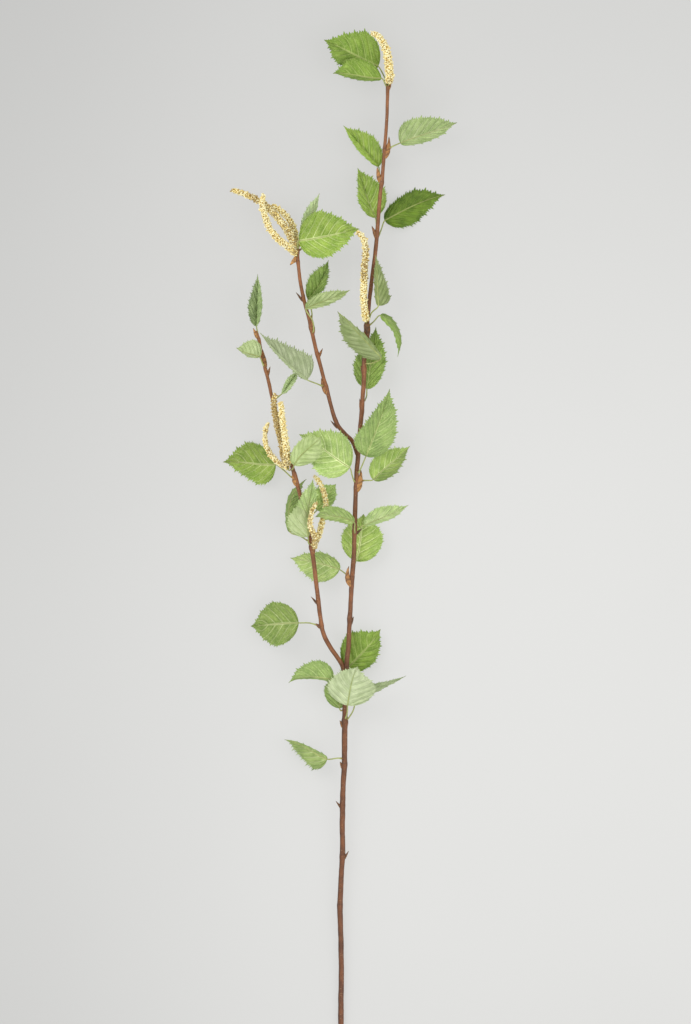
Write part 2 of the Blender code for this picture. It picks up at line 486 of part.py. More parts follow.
def midrib(spec, t):
    """Point, direction, left and up on the midrib of a blade."""
    base, tip = np.array(spec["base"]), np.array(spec["tip"])
    sweep, arch = spec.get("sweep", (0, 0)), spec.get("arch", (0, 0))
    side = unit(np.cross([0, 0, 1.0], tip - base))
    c1 = base + (tip - base) / 3 + side * sweep[0] + np.array([0, 0, arch[0]])
    c2 = base + (tip - base) * 2 / 3 + side * sweep[1] + np.array([0, 0, arch[1]])
    s = 1 - t
    point = s**3 * base + 3 * s * s * t * c1 + 3 * s * t * t * c2 + t**3 * tip
    ahead = unit(3 * s * s * (c1 - base) + 6 * s * t * (c2 - c1) + 3 * t * t * (tip - c2))
    left = unit(np.cross([0, 0, 1.0], ahead))
    return point, ahead, left, np.cross(ahead, left)


def half_plane(spec, which, t):
    """Outward direction of one half of the blade as (left, up) amounts, with its twist."""
    across, rise = spec[which]
    turn, start, end = spec.get("turn_" + which, (0, 0, 1))
    x = min(1.0, max(0.0, (t - start) / (end - start)))
    angle = math.atan2(rise, across) + math.radians(turn) * x * x * (3 - 2 * x)
    flip = 1 if which == "left" else -1
    return flip * math.cos(angle), math.sin(angle), -flip * math.sin(angle), math.cos(angle)


def blade_row(spec, root, meet, tooth):
    """The six corners of one row: left margin, midrib, right margin above, then the same below."""
    point, ahead, left, up = midrib(spec, root)
    rim_point, rim_ahead, rim_left, rim_up = midrib(spec, meet)
    length = np.linalg.norm(np.array(spec["tip"]) - np.array(spec["base"]))
    upper, lower = {}, {}
    normals = []
    for number, which in enumerate(("left", "right")):
        x, y, nx, ny = half_plane(spec, which, meet)
        out = x * rim_left + y * rim_up
        normal = nx * rim_left + ny * rim_up
        shape = width_at(meet, spec["wide"][number], spec["blunt"][number])
        half = math.hypot(*spec[which])
        reach = shape * half
        if reach > 2.0:
            reach += TOOTH_OUT if tooth else -NOTCH_IN
        reach = max(reach, SMALLEST_MARGIN * (2.2 if meet < 0.01 else 1.0))
        lift = (TOOTH_LIFT if tooth else -TOOTH_LIFT * 0.6) * min(1.0, reach / 6)
        forward = TOOTH_FORWARD * min(1.0, reach / 6) if tooth else 0.0
        forward -= HEART * length * shape * (1 - meet) ** 4
        rim = rim_point + out * reach + normal * lift + rim_ahead * forward
        upper[which] = rim + normal * HALF_SHEET
        lower[which] = rim - normal * HALF_SHEET
        x, y, nx, ny = half_plane(spec, which, root)
        normals.append(nx * left + ny * up)
    middle = unit(normals[0] + normals[1])
    thick = HALF_SHEET / max(0.45, float(np.dot(middle, normals[0])))
    row = [upper["left"], point + middle * thick, upper["right"],
           lower["right"], point - middle * thick, lower["left"]]
    if spec.get("rest"):
        for high, low in ((0, 5), (1, 4), (2, 3)):
            row[low][2] = max(row[low][2], FLAT_ON_GROUND)
            row[high][2] = max(row[high][2], row[low][2] + 2 * HALF_SHEET)
    return row


def stalk_rings(spec, bark):
    """Rings of six corners from just off the bark to the foot of the blade."""
    base, ahead, left, up = midrib(spec, 0.0)
    stalk = [np.array(p, float) for p in spec["stalk"]]
    hit, normal = seat(bark, stalk[0], stalk[1])
    line = [hit + normal * GAP, hit + normal * (GAP + 1.6)]
    line += stalk[1:] + [base - ahead * 3.0, base]
    smooth, _ = through(line, 60)
    picked = smooth[[0, 4, 13, 24, 36, 48]]
    picked[0] = hit + normal * GAP
    directions = np.gradient(smooth, axis=0)[[0, 4, 13, 24, 36, 48]]
    directions[0] = normal
    rings = []
    side = left
    for point, direction in reversed(list(zip(picked, directions))):
        direction = unit(direction)
        side = unit(side - direction * np.dot(side, direction))
        over = np.cross(direction, side)
        if np.dot(over, up) < 0 and not rings:
            over = -over
        ring = [point + STALK_RADIUS * (math.cos(a) * side + math.sin(a) * over)
                for a in np.radians((30, 90, 150, 210, 270, 330))]
        rings.append(ring)
    rings.reverse()
    return rings


def build_leaf(spec, bark, parent):
    rings = stalk_rings(spec, bark)
    rows = [(0.0, 0.0, False), (0.0, 0.035, True), (0.0, 0.095, False)]
    for k in range(MIDRIB_STEPS + 1):
        root = k / MIDRIB_STEPS
        rows.append((root, VEIN_LEAD + (1 - VEIN_LEAD) * root, k % 2 == 0 and k < MIDRIB_STEPS))
    points, index = [], []
    for ring in rings:
        index.append([len(points) + k for k in range(6)])
        points += list(ring)
    shared = None
    for root, meet, tooth in rows:
        row = blade_row(spec, root, meet, tooth)
        ids = []
        for k, corner in enumerate(row):
            if k in (1, 4) and root == 0.0 and shared:
                ids.append(shared[k])
                continue
            ids.append(len(points))
            points.append(corner)
        if root == 0.0 and not shared:
            shared = {1: ids[1], 4: ids[4]}
        index.append(ids)
    faces = []
    for a, b in zip(index[:-1], index[1:]):
        for j, diagonal in ((0, 1), (1, 0), (2, 0), (3, 1), (4, 0), (5, 0)):
            k = (j + 1) % 6
            if diagonal:
                pair = [(a[j], a[k], b[j]), (a[k], b[k], b[j])]
            else:
                pair = [(a[j], a[k], b[k]), (a[j], b[k], b[j])]
            faces += [f for f in pair if len(set(f)) == 3]
    for ids, turn in ((index[0], 1), (index[-1], -1)):
        tl, tm, tr, br, bm, bl = ids
        cap = [(tl, bl, tm), (tm, bl, bm), (tm, bm, tr), (tr, bm, br)]
        faces += [f if turn == 1 else tuple(reversed(f)) for f in cap]
    green = principled(spec["name"] + "_green", TONES[spec["tone"]], 0.5)
    return solid(spec["name"], points, faces, spec["base"], green, parent)


# Catkins
def build_catkin(spec, bark, parent):
    name, path, radius = spec
    path = [np.array(p, float) for p in path]
    hit, normal = seat(bark, path[0], path[1])
    line = [hit + normal * GAP, hit + normal * (GAP + 1.5)] + path[1:]
    _, length = through(line, 10)
    count = max(8, int(length / CATKIN_STEP))
    smooth, _ = through(line, count)
    tangents, sides = carried(smooth, np.array([0.3, 0.2, 1.0]))
    tangents[0] = normal
    rings = []
    for i, (point, tangent, side) in enumerate(zip(smooth, tangents, sides)):
        side = unit(side - tangent * np.dot(side, tangent))
        over = np.cross(tangent, side)
        run = length * i / (count - 1)
        grown = min(1.0, max(0.0, (run - 2.0) / 6.0))
        size = 0.75 + (radius - 0.75) * grown**0.7
        size *= 1 - 0.28 * (run / length) ** 2
        if length - run < 3.0:
            size *= 0.55 + 0.15 * (length - run)
        ring = []
        for j in range(CATKIN_SIDES):
            raised = FLORET_RELIEF * grown * (1 if (i + j) % 2 else -1)
            angle = 2 * math.pi * j / CATKIN_SIDES
            ring.append(point + (size + raised) * (math.cos(angle) * side + math.sin(angle) * over))
        rings.append(np.array(ring))
    gold = principled(name + "_gold", CATKIN_GOLD, 0.75)
    return solid(name, *rings_to_mesh(rings), hit, gold, parent)


def main():
    for obj in list(bpy.data.objects):
        bpy.data.objects.remove(obj, do_unlink=True)
    branch = bpy.data.objects.new("branch", None)
    bpy.context.scene.collection.objects.link(branch)
    wood = build_wood(principled("bark", BARK_BROWN, 0.55), branch)
    bpy.context.view_layer.update()
    bark = BVHTree.FromObject(wood, bpy.context.evaluated_depsgraph_get())
    for spec in LEAVES:
        build_leaf(spec, bark, branch)
    for spec in CATKINS:
        build_catkin(spec, bark, branch)


main()
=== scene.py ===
"""Dresses the cut birch branch: bark with its nodes and buds, serrated pleated leaves with their veins,
and catkins built up floret by floret. Sizes in the tables are millimetres in the frame of the solids,
where +Y runs to the top of the branch and +Z points up from the ground; meshes are made in metres."""

import math

import bpy
import numpy as np
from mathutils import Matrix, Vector
from mathutils.bvhtree import BVHTree


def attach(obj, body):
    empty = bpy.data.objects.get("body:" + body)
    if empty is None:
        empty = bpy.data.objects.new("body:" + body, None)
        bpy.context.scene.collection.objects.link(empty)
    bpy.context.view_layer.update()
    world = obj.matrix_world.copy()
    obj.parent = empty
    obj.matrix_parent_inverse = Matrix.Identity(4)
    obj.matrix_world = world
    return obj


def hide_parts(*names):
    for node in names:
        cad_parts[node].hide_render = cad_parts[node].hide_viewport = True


bl_info = {
    "name": "Birch branch",
    "version": (1, 0, 0),
    "blender": (4, 5, 0),
    "location": "3D View > Sidebar > Birch",
    "description": "Builds the bark, leaves, catkins and stage of a cut birch branch",
    "category": "Object",
}

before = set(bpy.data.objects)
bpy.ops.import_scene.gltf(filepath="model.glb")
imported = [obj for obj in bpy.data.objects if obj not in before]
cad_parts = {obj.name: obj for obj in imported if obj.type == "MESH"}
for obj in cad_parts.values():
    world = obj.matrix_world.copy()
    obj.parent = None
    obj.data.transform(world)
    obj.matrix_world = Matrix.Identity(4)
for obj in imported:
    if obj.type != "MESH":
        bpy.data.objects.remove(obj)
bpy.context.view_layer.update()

MM = 0.001

# Camera: the picture's middle in the frame of the solids and how much of the branch it takes in
PICTURE_MIDDLE = (4.95, 36.0)
PICTURE_TALL = 921.6
BRANCH_LEVEL = 24.0

# Leaf blades, in the same terms as the solids
VEIN_LEAD = 0.17
VEIN_LEAN = 2.7  # vein rows that a side vein gains on its way from the midrib to the margin
HEART = 0.05
NOTCH_IN = 0.9
TOOTH_OUT = 1.0
TOOTH_FORWARD = 1.3
TOOTH_LIFT = 0.5
FAN_ROWS = (0.0, 0.035, 0.095)
VEIN_ROWS = 12

# Colours as seen in daylight, 0 to 255
LEAF_TONES = {
    "dark": ((100, 126, 46), (70, 96, 30)),
    "mid": ((132, 160, 70), (100, 130, 48)),
    "bright": ((154, 180, 82), (120, 152, 56)),
    "pale": ((170, 194, 112), (140, 170, 82)),
}
UNDERSIDE = ((184, 198, 142), (156, 174, 112))
VEINS = {"dark": (150, 170, 92), "mid": (204, 222, 144), "bright": (228, 240, 174), "pale": (230, 240, 186)}
VEINS_SHOW = {"dark": 0.7, "mid": 0.74, "bright": 0.92, "pale": 0.66}
UNDER_VEIN = (148, 172, 96)
STALK_GREEN = ((160, 166, 96), (126, 128, 66))
BARK = ((90, 48, 25), (156, 99, 55), (48, 27, 15))
BARK_DASH = (196, 160, 118)
BARK_CRACK = (56, 34, 22)
BARK_SCAR = (74, 44, 28)
TIP_BROWN = (96, 92, 44)
STALK_FOOT = (140, 104, 58)
BUD_COLOURS = ((56, 38, 24), (122, 76, 40), (176, 124, 66), (206, 152, 86))
# Catkins: cream, partly a painted highlight; gold; and deep, painted shade where the florets close up
CATKIN_COLOURS = ((255, 250, 206), (244, 220, 138), (208, 176, 94))
RIPE_CATKIN = (146, 110, 32)
FLOOR_GREY = (224, 224, 222)

# Corners round each rod-like shape, and the turn from one floret to the next
BUD_SIDES = 18
STALK_SIDES = 10
CORE_SIDES = 12
FLORET_SIDES = 6
GOLDEN_TURN = 2.39996

# Studio, in metres: half of the floor's width, the lamps' width, where the floor's colour is painted
# lightest, how that painted light falls off from there, and between which places across it the left side is
# painted dimmer
FLOOR_HALF = 6.0
LAMP_SIZE = 2.2
LIGHTEST_Y = -0.133
FALL_OFF = -2.05
LIGHT_KEPT = 0.74
DIM_FROM, DIM_TO, DIM_SHARE = -0.441, 0.09, 0.82

# Wood: centre line points with height and radius, from the cut end or the fork outwards
MAIN_STEM = (
    (0.5, -469.8, 2.6, 2.8), (0.5, -448.2, 2.7, 2.7), (0.9, -403.2, 4.4, 2.6), (0.9, -358.2, 6.2, 2.5),
    (0, -326.7, 7.6, 2.5), (0.9, -295.2, 9, 2.5), (2.2, -268.2, 10.2, 2.5), (2.2, -241.2, 11.4, 2.5),
    (2.7, -214.2, 12.6, 2.5), (4, -187.2, 13.8, 2.6), (4.3, -160.2, 15, 2.6), (4.7, -133.2, 16.6, 2.5),
    (5.4, -108, 18, 2.4), (7.2, -88.2, 19, 2.2), (9, -56.7, 20.6, 2.2), (10.8, -25.2, 22, 2.2),
    (12.6, 1.8, 23, 2.2), (14, 46.8, 24.4, 2.1), (15.8, 82.8, 25.3, 2.1), (18.9, 118.8, 26, 2.1),
    (21, 145.8, 26.4, 2.1), (22.1, 181.8, 26.6, 2.1), (25.2, 213.3, 26.5, 2), (27.9, 240.3, 26.3, 1.9),
    (31.5, 267.3, 26.1, 1.9), (34.2, 298.8, 25.8, 1.9), (36.7, 325.8, 25.4, 1.8),
    (38.7, 343.8, 25, 1.7), (40.1, 361.8, 24.7, 1.6), (41.9, 388.8, 24.3, 1.5),
    (42.9, 409.5, 24.1, 1.6), (43.2, 420.3, 24, 1.9),
)
LEFT_TWIG = (
    (5, -115.2, 17.6, 1.4), (3.6, -108, 18, 2), (1.8, -101.7, 18.4, 2.1), (-2.7, -94.5, 19.2, 2.1),
    (-9, -85.5, 20.2, 2.1), (-14.4, -74.7, 21.4, 2.1), (-18, -56.7, 23.2, 2), (-21.2, -29.7, 25.2, 2),
    (-25.2, 1.8, 27, 2), (-33.3, 40.5, 28, 1.9), (-38.7, 62.1, 28.2, 1.9), (-43.2, 76.5, 28.2, 1.9),
    (-47.7, 91.8, 28, 1.8), (-54, 114.3, 27.6, 1.7), (-61.2, 139.5, 27, 1.6),
    (-65.7, 159.3, 26.3, 1.6), (-69.8, 175.5, 25.4, 1.6), (-73.8, 193.5, 24.3, 1.4),
    (-76, 198.9, 24, 1.1),
)
MIDDLE_TWIG = (
    (15.3, 87.3, 25.4, 1.3), (10.8, 99.9, 26, 1.9), (4.5, 106.2, 26.8, 1.9), (-2.7, 115.2, 28, 1.9),
    (-9, 135, 29.6, 1.8), (-15.3, 159.3, 30.6, 1.8), (-21.6, 181.8, 31, 1.8), (-27, 207, 31, 1.8),
    (-32.4, 226.8, 30.6, 1.7), (-36.5, 249.3, 29.8, 1.6), (-38, 265.5, 29, 1.6),
    (-37.5, 272.7, 28.4, 1.7),
)
# Nodes: place along +Y and how much thicker the wood is there
MAIN_NODES = (
    (-319.5, 1.12), (-228.6, 1.1), (-274.5, 1.1), (-191.7, 1.15), (-153, 1.35), (-104.4, 1.15),
    (-60.3, 1.2), (-23.4, 1.1), (18, 1.2), (57.6, 1.15), (126, 1.1), (163.8, 1.3), (203.4, 1.45),
    (286.2, 1.2), (332.1, 1.35), (361.8, 1.2),
)
LEFT_NODES = (
    (-65.7, 1.2), (-43.2, 1.1), (3.6, 1.4), (69.3, 1.3), (163.8, 1.2), (190.8, 1.2),
)
MIDDLE_NODES = (
    (117.9, 1.1), (148.5, 1.2), (178.2, 1.15), (201.6, 1.3), (229.5, 1.15), (261, 1.25),
)
# Buds and scales: foot, tip, half width, half thickness and sideways lean
BUDS = (
    ((1.8, -231.8, 11.8), (-3.8, -224.6, 12.1), 1.1, 1, 0),
    ((2.7, -278.6, 9.7), (7.9, -269.6, 10.1), 1.1, 1, 0),
    ((3.1, -196.2, 13.4), (0, -189, 13.7), 1.5, 1.3, 0),
    ((3.6, -159.3, 15.1), (-0.2, -151.7, 15.5), 1.6, 1.4, 0),
    ((9.2, -66.6, 20.1), (12.4, -58.1, 20.5), 1.2, 1.1, 0),
    ((10.3, -31.5, 23.2), (8.1, -12.6, 24), 2.4, 1, 2.5),
    ((13.3, 15.3, 23.4), (19.8, 21.2, 23.6), 1.3, 1.1, 0),
    ((14.8, 54, 24.6), (18.9, 73.8, 25.1), 2.9, 2.2, -1),
    ((20.1, 120.6, 26), (17.6, 138.2, 26.3), 1.7, 1.5, 0),
    ((21.6, 159.3, 26.5), (18.7, 167.8, 26.5), 1.6, 1.4, 0),
    ((23.9, 207, 27.9), (25.5, 189.9, 28), 2.3, 1.4, 0),
    ((33.8, 280.8, 26), (28.6, 293.4, 25.9), 1.9, 1.6, 0),
    ((36.9, 332.1, 25.3), (33.5, 346.5, 25), 2.2, 1.7, 0.6),
    ((40.5, 354.2, 24.8), (44.1, 373.9, 24.5), 2.3, 1.8, -1.2),
    ((42.8, 416.7, 24), (41.9, 429.8, 24), 1.2, 0.9, 0),
    ((43.6, 415.8, 24), (46.2, 425.7, 24), 1.5, 1.2, 0),
    ((-17.1, -68.4, 22), (-21.8, -64.4, 22.4), 1.7, 1.2, 0),
    ((-19.5, -47.7, 23.9), (-26.1, -40.1, 24.4), 1.1, 1, 0),
    ((-23.8, -1.8, 27.2), (-26.6, 13.5, 27.7), 2.3, 1.9, 0),
    ((-38.7, 59.4, 28.2), (-41.9, 75.6, 28.2), 2.7, 1.9, 0.6),
    ((-65.7, 157.5, 26.4), (-62.7, 167, 25.9), 1.3, 1.1, 0),
    ((-67, 165.6, 25.9), (-69.9, 182.7, 25), 2.1, 1.7, 0),
    ((-74.2, 192.2, 24.4), (-78.1, 201.6, 24), 1.6, 1.4, 0),
    ((-37.4, 266.4, 28.9), (-45, 257.9, 29.4), 1.3, 0.9, 0),
    ((-32.9, 225, 30.6), (-39.6, 233.6, 30.4), 1.1, 1, 0),
    ((-24, 196.2, 31), (-25.9, 213.3, 30.9), 2.2, 1.8, 0.3),
    ((-19.8, 174.2, 30.9), (-15.5, 183.2, 31), 1.3, 1.1, 0),
    ((-10.5, 141.3, 29.9), (-16.8, 156.2, 30.5), 2.4, 1.9, 1),
    ((-2.2, 111.2, 27.5), (-8.6, 118.4, 28.3), 1, 0.9, 0),
)

# What each bud or scale above looks like, from dark and woody at 0 to fresh orange at 1
BRACTS = {23: 1.7, 10: 1.25}  # buds that are open bracts, and how much broader they are
BUD_RIPENESS = (
    0.2, 0.2, 0.35, 0.3, 0.1, 0.6, 0.05, 0.7, 0.35, 0.3, 0.15, 0.4, 0.6, 0.5, 0.35, 0.5,
    0.3, 0.1, 0.55, 0.75, 0.3, 0.45, 0.8, 0.9, 0.05, 0.5, 0.35, 0.5, 0.1,
)

# Leaves: base and tip of the blade, half widths as (across, rise) at the widest place,
# and the stalk from a point inside the wood outwards
LEAVES = (
    dict(name="leaf_01", base=(34.2, 437.4, 22), tip=(-14.4, 460.8, 26),
         left=(14, 5), right=(23.5, -3), wide=(0.6, 0.44), blunt=(1.3, 1.05), sweep=(1, -1),
         tone="mid",
         stalk=((42.8, 421.2, 24), (39.6, 428.4, 22))),
    dict(name="leaf_02", base=(36.9, 426.2, 31), tip=(-6.3, 430.2, 31),
         left=(2, -12), right=(14.5, 6), wide=(0.5, 0.5), blunt=(1.5, 1.6), sweep=(2, -3),
         tone="mid",
         stalk=((42.8, 418.5, 24), (40.5, 421.2, 28))),
    dict(name="leaf_03", base=(34.6, 347.4, 18), tip=(3.1, 384.3, 14),
         left=(4.5, 9), right=(14, 3), wide=(0.45, 0.45), blunt=(1.3, 1.2), sweep=(-1, 1),
         tone="bright",
         stalk=((37.8, 334.8, 25), (36, 337.5, 21))),
    dict(name="leaf_04", base=(54.5, 368.1, 27), tip=(105.3, 386.1, 31),
         left=(16, 8), right=(6, -11), wide=(0.24, 0.4), blunt=(1.9, 1.5), sweep=(1, -1),
         tone="pale",
         stalk=((41.2, 361.8, 24.5), (46.4, 364.5, 26))),
    dict(name="leaf_05", base=(31.9, 301.5, 14), tip=(15.8, 346.5, 10),
         left=(8, 10), right=(17.5, 3), wide=(0.35, 0.42), blunt=(1.2, 1.2), sweep=(2, 1),
         tone="bright",
         stalk=((34.2, 287.1, 26), (32.9, 293.4, 18))),
    dict(name="leaf_06", base=(40.5, 299.2, 9), tip=(95, 322.7, 0.6),
         left=(12.8, 0), right=(15, 0), wide=(0.56, 0.38), blunt=(1.2, 1.2), sweep=(2, 4),
         arch=(-5, -6), tone="dark", rest=True,
         stalk=((33.3, 282.6, 26), (36.9, 289.8, 17))),
    dict(name="leaf_07", base=(34.6, 221.4, 38), tip=(31.9, 267.3, 35),
         left=(2.6, -6.5), right=(10, -9), wide=(0.35, 0.14), blunt=(1.4, 1.15), sweep=(0, -1),
         arch=(2, 1), tone="pale", under=True,
         stalk=((24.8, 207.9, 26.5), (28.4, 215.1, 33))),
    dict(name="leaf_08", base=(36.5, 212.8, 33), tip=(51.8, 175.5, 30),
         left=(4, -14), right=(3.5, 14), wide=(0.3, 0.3), blunt=(1.6, 1.6), sweep=(10, 9),
         arch=(2, 2), tone="mid",
         stalk=((24.3, 202.5, 26.5), (30.6, 207.5, 30))),
    dict(name="leaf_09", base=(36.9, 174.6, 39), tip=(-2.2, 216, 40),
         left=(13.5, -9), right=(3.5, -9), wide=(0.5, 0.4), blunt=(1.5, 1.4), sweep=(0, 0),
         arch=(2, 2), tone="pale", under=True,
         stalk=((21.6, 169.2, 26.5), (29.7, 170.1, 33))),
    dict(name="leaf_10", base=(24.3, 147.2, 15), tip=(32.4, 203, 11),
         left=(15, 6), right=(13, 4), wide=(0.35, 0.45), blunt=(1.3, 1.3), sweep=(0, -1),
         tone="mid",
         stalk=((20.9, 135, 26.3), (23.9, 140.4, 19))),
    dict(name="leaf_11", base=(23.4, 86.4, 35), tip=(44.6, 146.7, 40),
         left=(15.2, 7), right=(18, 4), wide=(0.22, 0.38), blunt=(1.05, 1.4), sweep=(-1, -2),
         tone="mid",
         stalk=((15.3, 70.2, 25), (18.9, 75.6, 32))),
    dict(name="leaf_12", base=(30.2, 65.2, 23), tip=(63, 95.4, 24),
         left=(14, 5), right=(9, -12), wide=(0.4, 0.42), blunt=(1.3, 1.2), sweep=(2, -1),
         tone="bright",
         stalk=((15.3, 63.9, 25), (22.5, 64.4, 24))),
    dict(name="leaf_13", base=(8.6, 76, 33), tip=(-36.9, 105.8, 32),
         left=(20, 4), right=(21, 3), wide=(0.35, 0.42), blunt=(1.3, 1.3), sweep=(1, -3),
         tone="bright",
         stalk=((14.4, 61.2, 25), (10.8, 69.3, 31))),
    dict(name="leaf_14", base=(-41, 78.1, 42.5), tip=(-17.1, 103.5, 50),
         left=(10, -4), right=(12, -5), wide=(0.5, 0.5), blunt=(2.2, 2.2), sweep=(4, -1),
         tone="pale", under=True,
         stalk=((-43.2, 73.8, 28), (-41.9, 75.6, 37.5))),
    dict(name="leaf_15", base=(14.4, -8.1, 13), tip=(21.2, 34.2, 9),
         left=(17, 3), right=(20, 2), wide=(0.45, 0.5), blunt=(1.7, 1.7), sweep=(-2, 0),
         tone="bright",
         stalk=((11.2, -18, 22.6), (13.1, -12.6, 17))),
    dict(name="leaf_16", base=(22.1, 24.3, 27), tip=(61.6, 42.3, 30),
         left=(10, 10), right=(4, -10), wide=(0.38, 0.5), blunt=(1.3, 1.4), sweep=(0, -2),
         tone="pale",
         stalk=((13.8, 22.5, 23.8), (18, 22.5, 27))),
    dict(name="leaf_17", base=(12.6, 27, 35), tip=(-22.1, 31.5, 37),
         left=(4, -7), right=(8.5, 4), wide=(0.4, 0.6), blunt=(2.2, 3.2), sweep=(-4, -4),
         tone="pale",
         stalk=((13.5, 15.3, 23.5), (13.1, 21.6, 31))),
    dict(name="leaf_18", base=(-0.5, -15.8, 15), tip=(-45, -5.4, 11),
         left=(16.5, 2), right=(9.5, -8), wide=(0.4, 0.45), blunt=(1.3, 1.3), sweep=(-2, -1),
         tone="bright",
         stalk=((10.3, -27.9, 22.2), (5.4, -20.2, 17))),
    dict(name="leaf_19", base=(6.3, -105.3, 10), tip=(36.5, -69.8, 8),
         left=(21.5, 3), right=(13.5, -3), wide=(0.5, 0.45), blunt=(1.2, 1.3), sweep=(-1, -3),
         tone="mid",
         stalk=((5.9, -115.2, 18), (6.3, -109.8, 12))),
    dict(name="leaf_20", base=(-5.4, -114.8, 27), tip=(-46.4, -117.9, 20),
         left=(1.5, -7), right=(15, 4), wide=(0.4, 0.36), blunt=(1.3, 1.3), sweep=(-3, -8),
         tone="mid",
         stalk=((4.7, -122.4, 18), (0, -116.1, 25))),
    dict(name="leaf_21", base=(6.8, -137.7, 29), tip=(15.8, -102.6, 42),
         left=(20, -5), right=(22, -3), wide=(0.35, 0.5), blunt=(1.5, 1.6), sweep=(1, 3),
         tone="pale", under=True,
         stalk=((4.5, -152.1, 16), (6.6, -144, 24))),
    dict(name="leaf_22", base=(-0.5, -140.8, 12), tip=(0, -109.8, 8),
         left=(14, 2), right=(9, 1), wide=(0.5, 0.5), blunt=(1.7, 1.7), sweep=(0, 0),
         tone="dark",
         stalk=((4.6, -142.2, 16.5), (0.9, -143.1, 13))),
    dict(name="leaf_23", base=(15.3, -131.4, 25), tip=(59.4, -111.6, 21),
         left=(3.5, 7), right=(3, -8), wide=(0.35, 0.35), blunt=(1.5, 1.5), sweep=(3, 0),
         tone="pale",
         stalk=((4.7, -153, 16), (11.7, -143.1, 22))),
    dict(name="leaf_24", base=(-11.7, -186.8, 17), tip=(-50, -169.2, 14),
         left=(12.5, -3), right=(2, -9), wide=(0.19, 0.4), blunt=(1.25, 1.3), sweep=(1, -4),
         tone="bright",
         stalk=((4, -186.3, 13.8), (-1.8, -185.8, 16.5))),
    dict(name="leaf_25", base=(-36.5, 279.9, 33), tip=(17.6, 290.2, 37),
         left=(23.5, 5), right=(18.5, 3), wide=(0.42, 0.38), blunt=(1.2, 1.3), sweep=(-2, 0),
         tone="bright",
         stalk=((-37.5, 270.9, 28.5), (-37.8, 275.4, 32.5))),
    dict(name="leaf_26", base=(-35.6, 280.8, 26), tip=(-18.4, 323.1, 22),
         left=(6, 7), right=(3, -10), wide=(0.45, 0.45), blunt=(1.6, 1.6), sweep=(-1, 0),
         tone="pale",
         stalk=((-37.5, 270, 28.5), (-34.2, 274.5, 26.5))),
    dict(name="leaf_27", base=(-28.8, 227.7, 27), tip=(-10.3, 262.8, 22),
         left=(11, 5), right=(5.5, 5), wide=(0.45, 0.42), blunt=(1.2, 1.3), sweep=(-5, -3),
         tone="dark",
         stalk=((-27, 207, 31), (-22.1, 211.5, 28.5), (-24.8, 219.6, 27.5))),
    dict(name="leaf_28", base=(-30.6, 219.2, 39), tip=(9, 235.3, 39),
         left=(7, 6), right=(4, -9), wide=(0.35, 0.6), blunt=(1.7, 1.5), sweep=(0, -1),
         arch=(1, 2), tone="pale", under=True,
         stalk=((-24.3, 193.5, 31), (-24.3, 207, 37))),
    dict(name="leaf_29", base=(-29.7, 154.8, 38), tip=(-72, 197.1, 43),
         left=(2.5, 7), right=(18, -6), wide=(0.4, 0.2), blunt=(1.4, 1.15), sweep=(2, 3),
         tone="pale", under=True,
         stalk=((-12.6, 148.5, 30), (-20.7, 151.2, 35))),
    dict(name="leaf_30", base=(-75.2, 203.4, 22), tip=(-74.2, 250.2, 20),
         left=(8, 8), right=(4.5, 10), wide=(0.36, 0.38), blunt=(1.25, 1.25), sweep=(0, -1),
         tone="dark",
         stalk=((-73.4, 191.7, 24.3), (-74.2, 198, 22))),
    dict(name="leaf_31", base=(-72.5, 175.5, 31), tip=(-93.2, 183.6, 30),
         left=(2.5, -11), right=(13, 3), wide=(0.4, 0.4), blunt=(1.4, 1.3), sweep=(0, 2),
         arch=(6, 6), tone="pale", under=True,
         stalk=((-67.2, 164.7, 26), (-70.2, 171, 29))),
    dict(name="leaf_32", base=(-52.6, 142.2, 25), tip=(-37.8, 162, 13),
         left=(4.5, 6.5), right=(4.5, 7), wide=(0.45, 0.45), blunt=(1.8, 1.8), sweep=(-1, 1),
         tone="pale",
         stalk=((-60.8, 135.9, 27), (-56.7, 138.6, 26.5))),
    dict(name="leaf_33", base=(-58.1, 78.8, 13), tip=(-105.8, 81, 0.6),
         left=(18, 0), right=(19, 0), wide=(0.28, 0.54), blunt=(1, 1.1), sweep=(2, -2),
         arch=(-7, -8), tone="bright", rest=True,
         stalk=((-41.9, 66.6, 28), (-50.4, 73.4, 20))),
    dict(name="leaf_34", base=(-45, 18, 18), tip=(-30.2, 65.7, 13),
         left=(2.5, -7), right=(9, -8), wide=(0.4, 0.45), blunt=(1.6, 1.5), sweep=(8, 13),
         tone="dark",
         stalk=((-27.6, 9.9, 27), (-36, 14.4, 22))),
    dict(name="leaf_35", base=(-28.4, 14, 36.5), tip=(-24.3, 65.2, 40),
         left=(17.5, 3), right=(2.5, -5), wide=(0.26, 0.6), blunt=(2.4, 2.6), sweep=(4, 1),
         turn_left=(40, 0.25, 0.5), turn_right=(60, 0.5, 0.7), tone="pale", under=True,
         stalk=((-26.1, 6.3, 27), (-28.5, 8.6, 34))),
    dict(name="leaf_36", base=(-20.7, 37.8, 21), tip=(-3.6, 61.2, 19),
         left=(12, 2), right=(8, -2), wide=(0.45, 0.45), blunt=(1.8, 1.8), sweep=(0, 0),
         tone="mid",
         stalk=((-31.1, 28.8, 27), (-26.1, 32.4, 23))),
    dict(name="leaf_37", base=(-37.4, -63.9, 20), tip=(-80.5, -67, 12),
         left=(19.5, 3), right=(20, 3.5), wide=(0.5, 0.48), blunt=(1.25, 1.25), sweep=(-1, 0),
         tone="bright",
         stalk=((-17.1, -66.6, 22.2), (-27.9, -63.9, 21))),
)

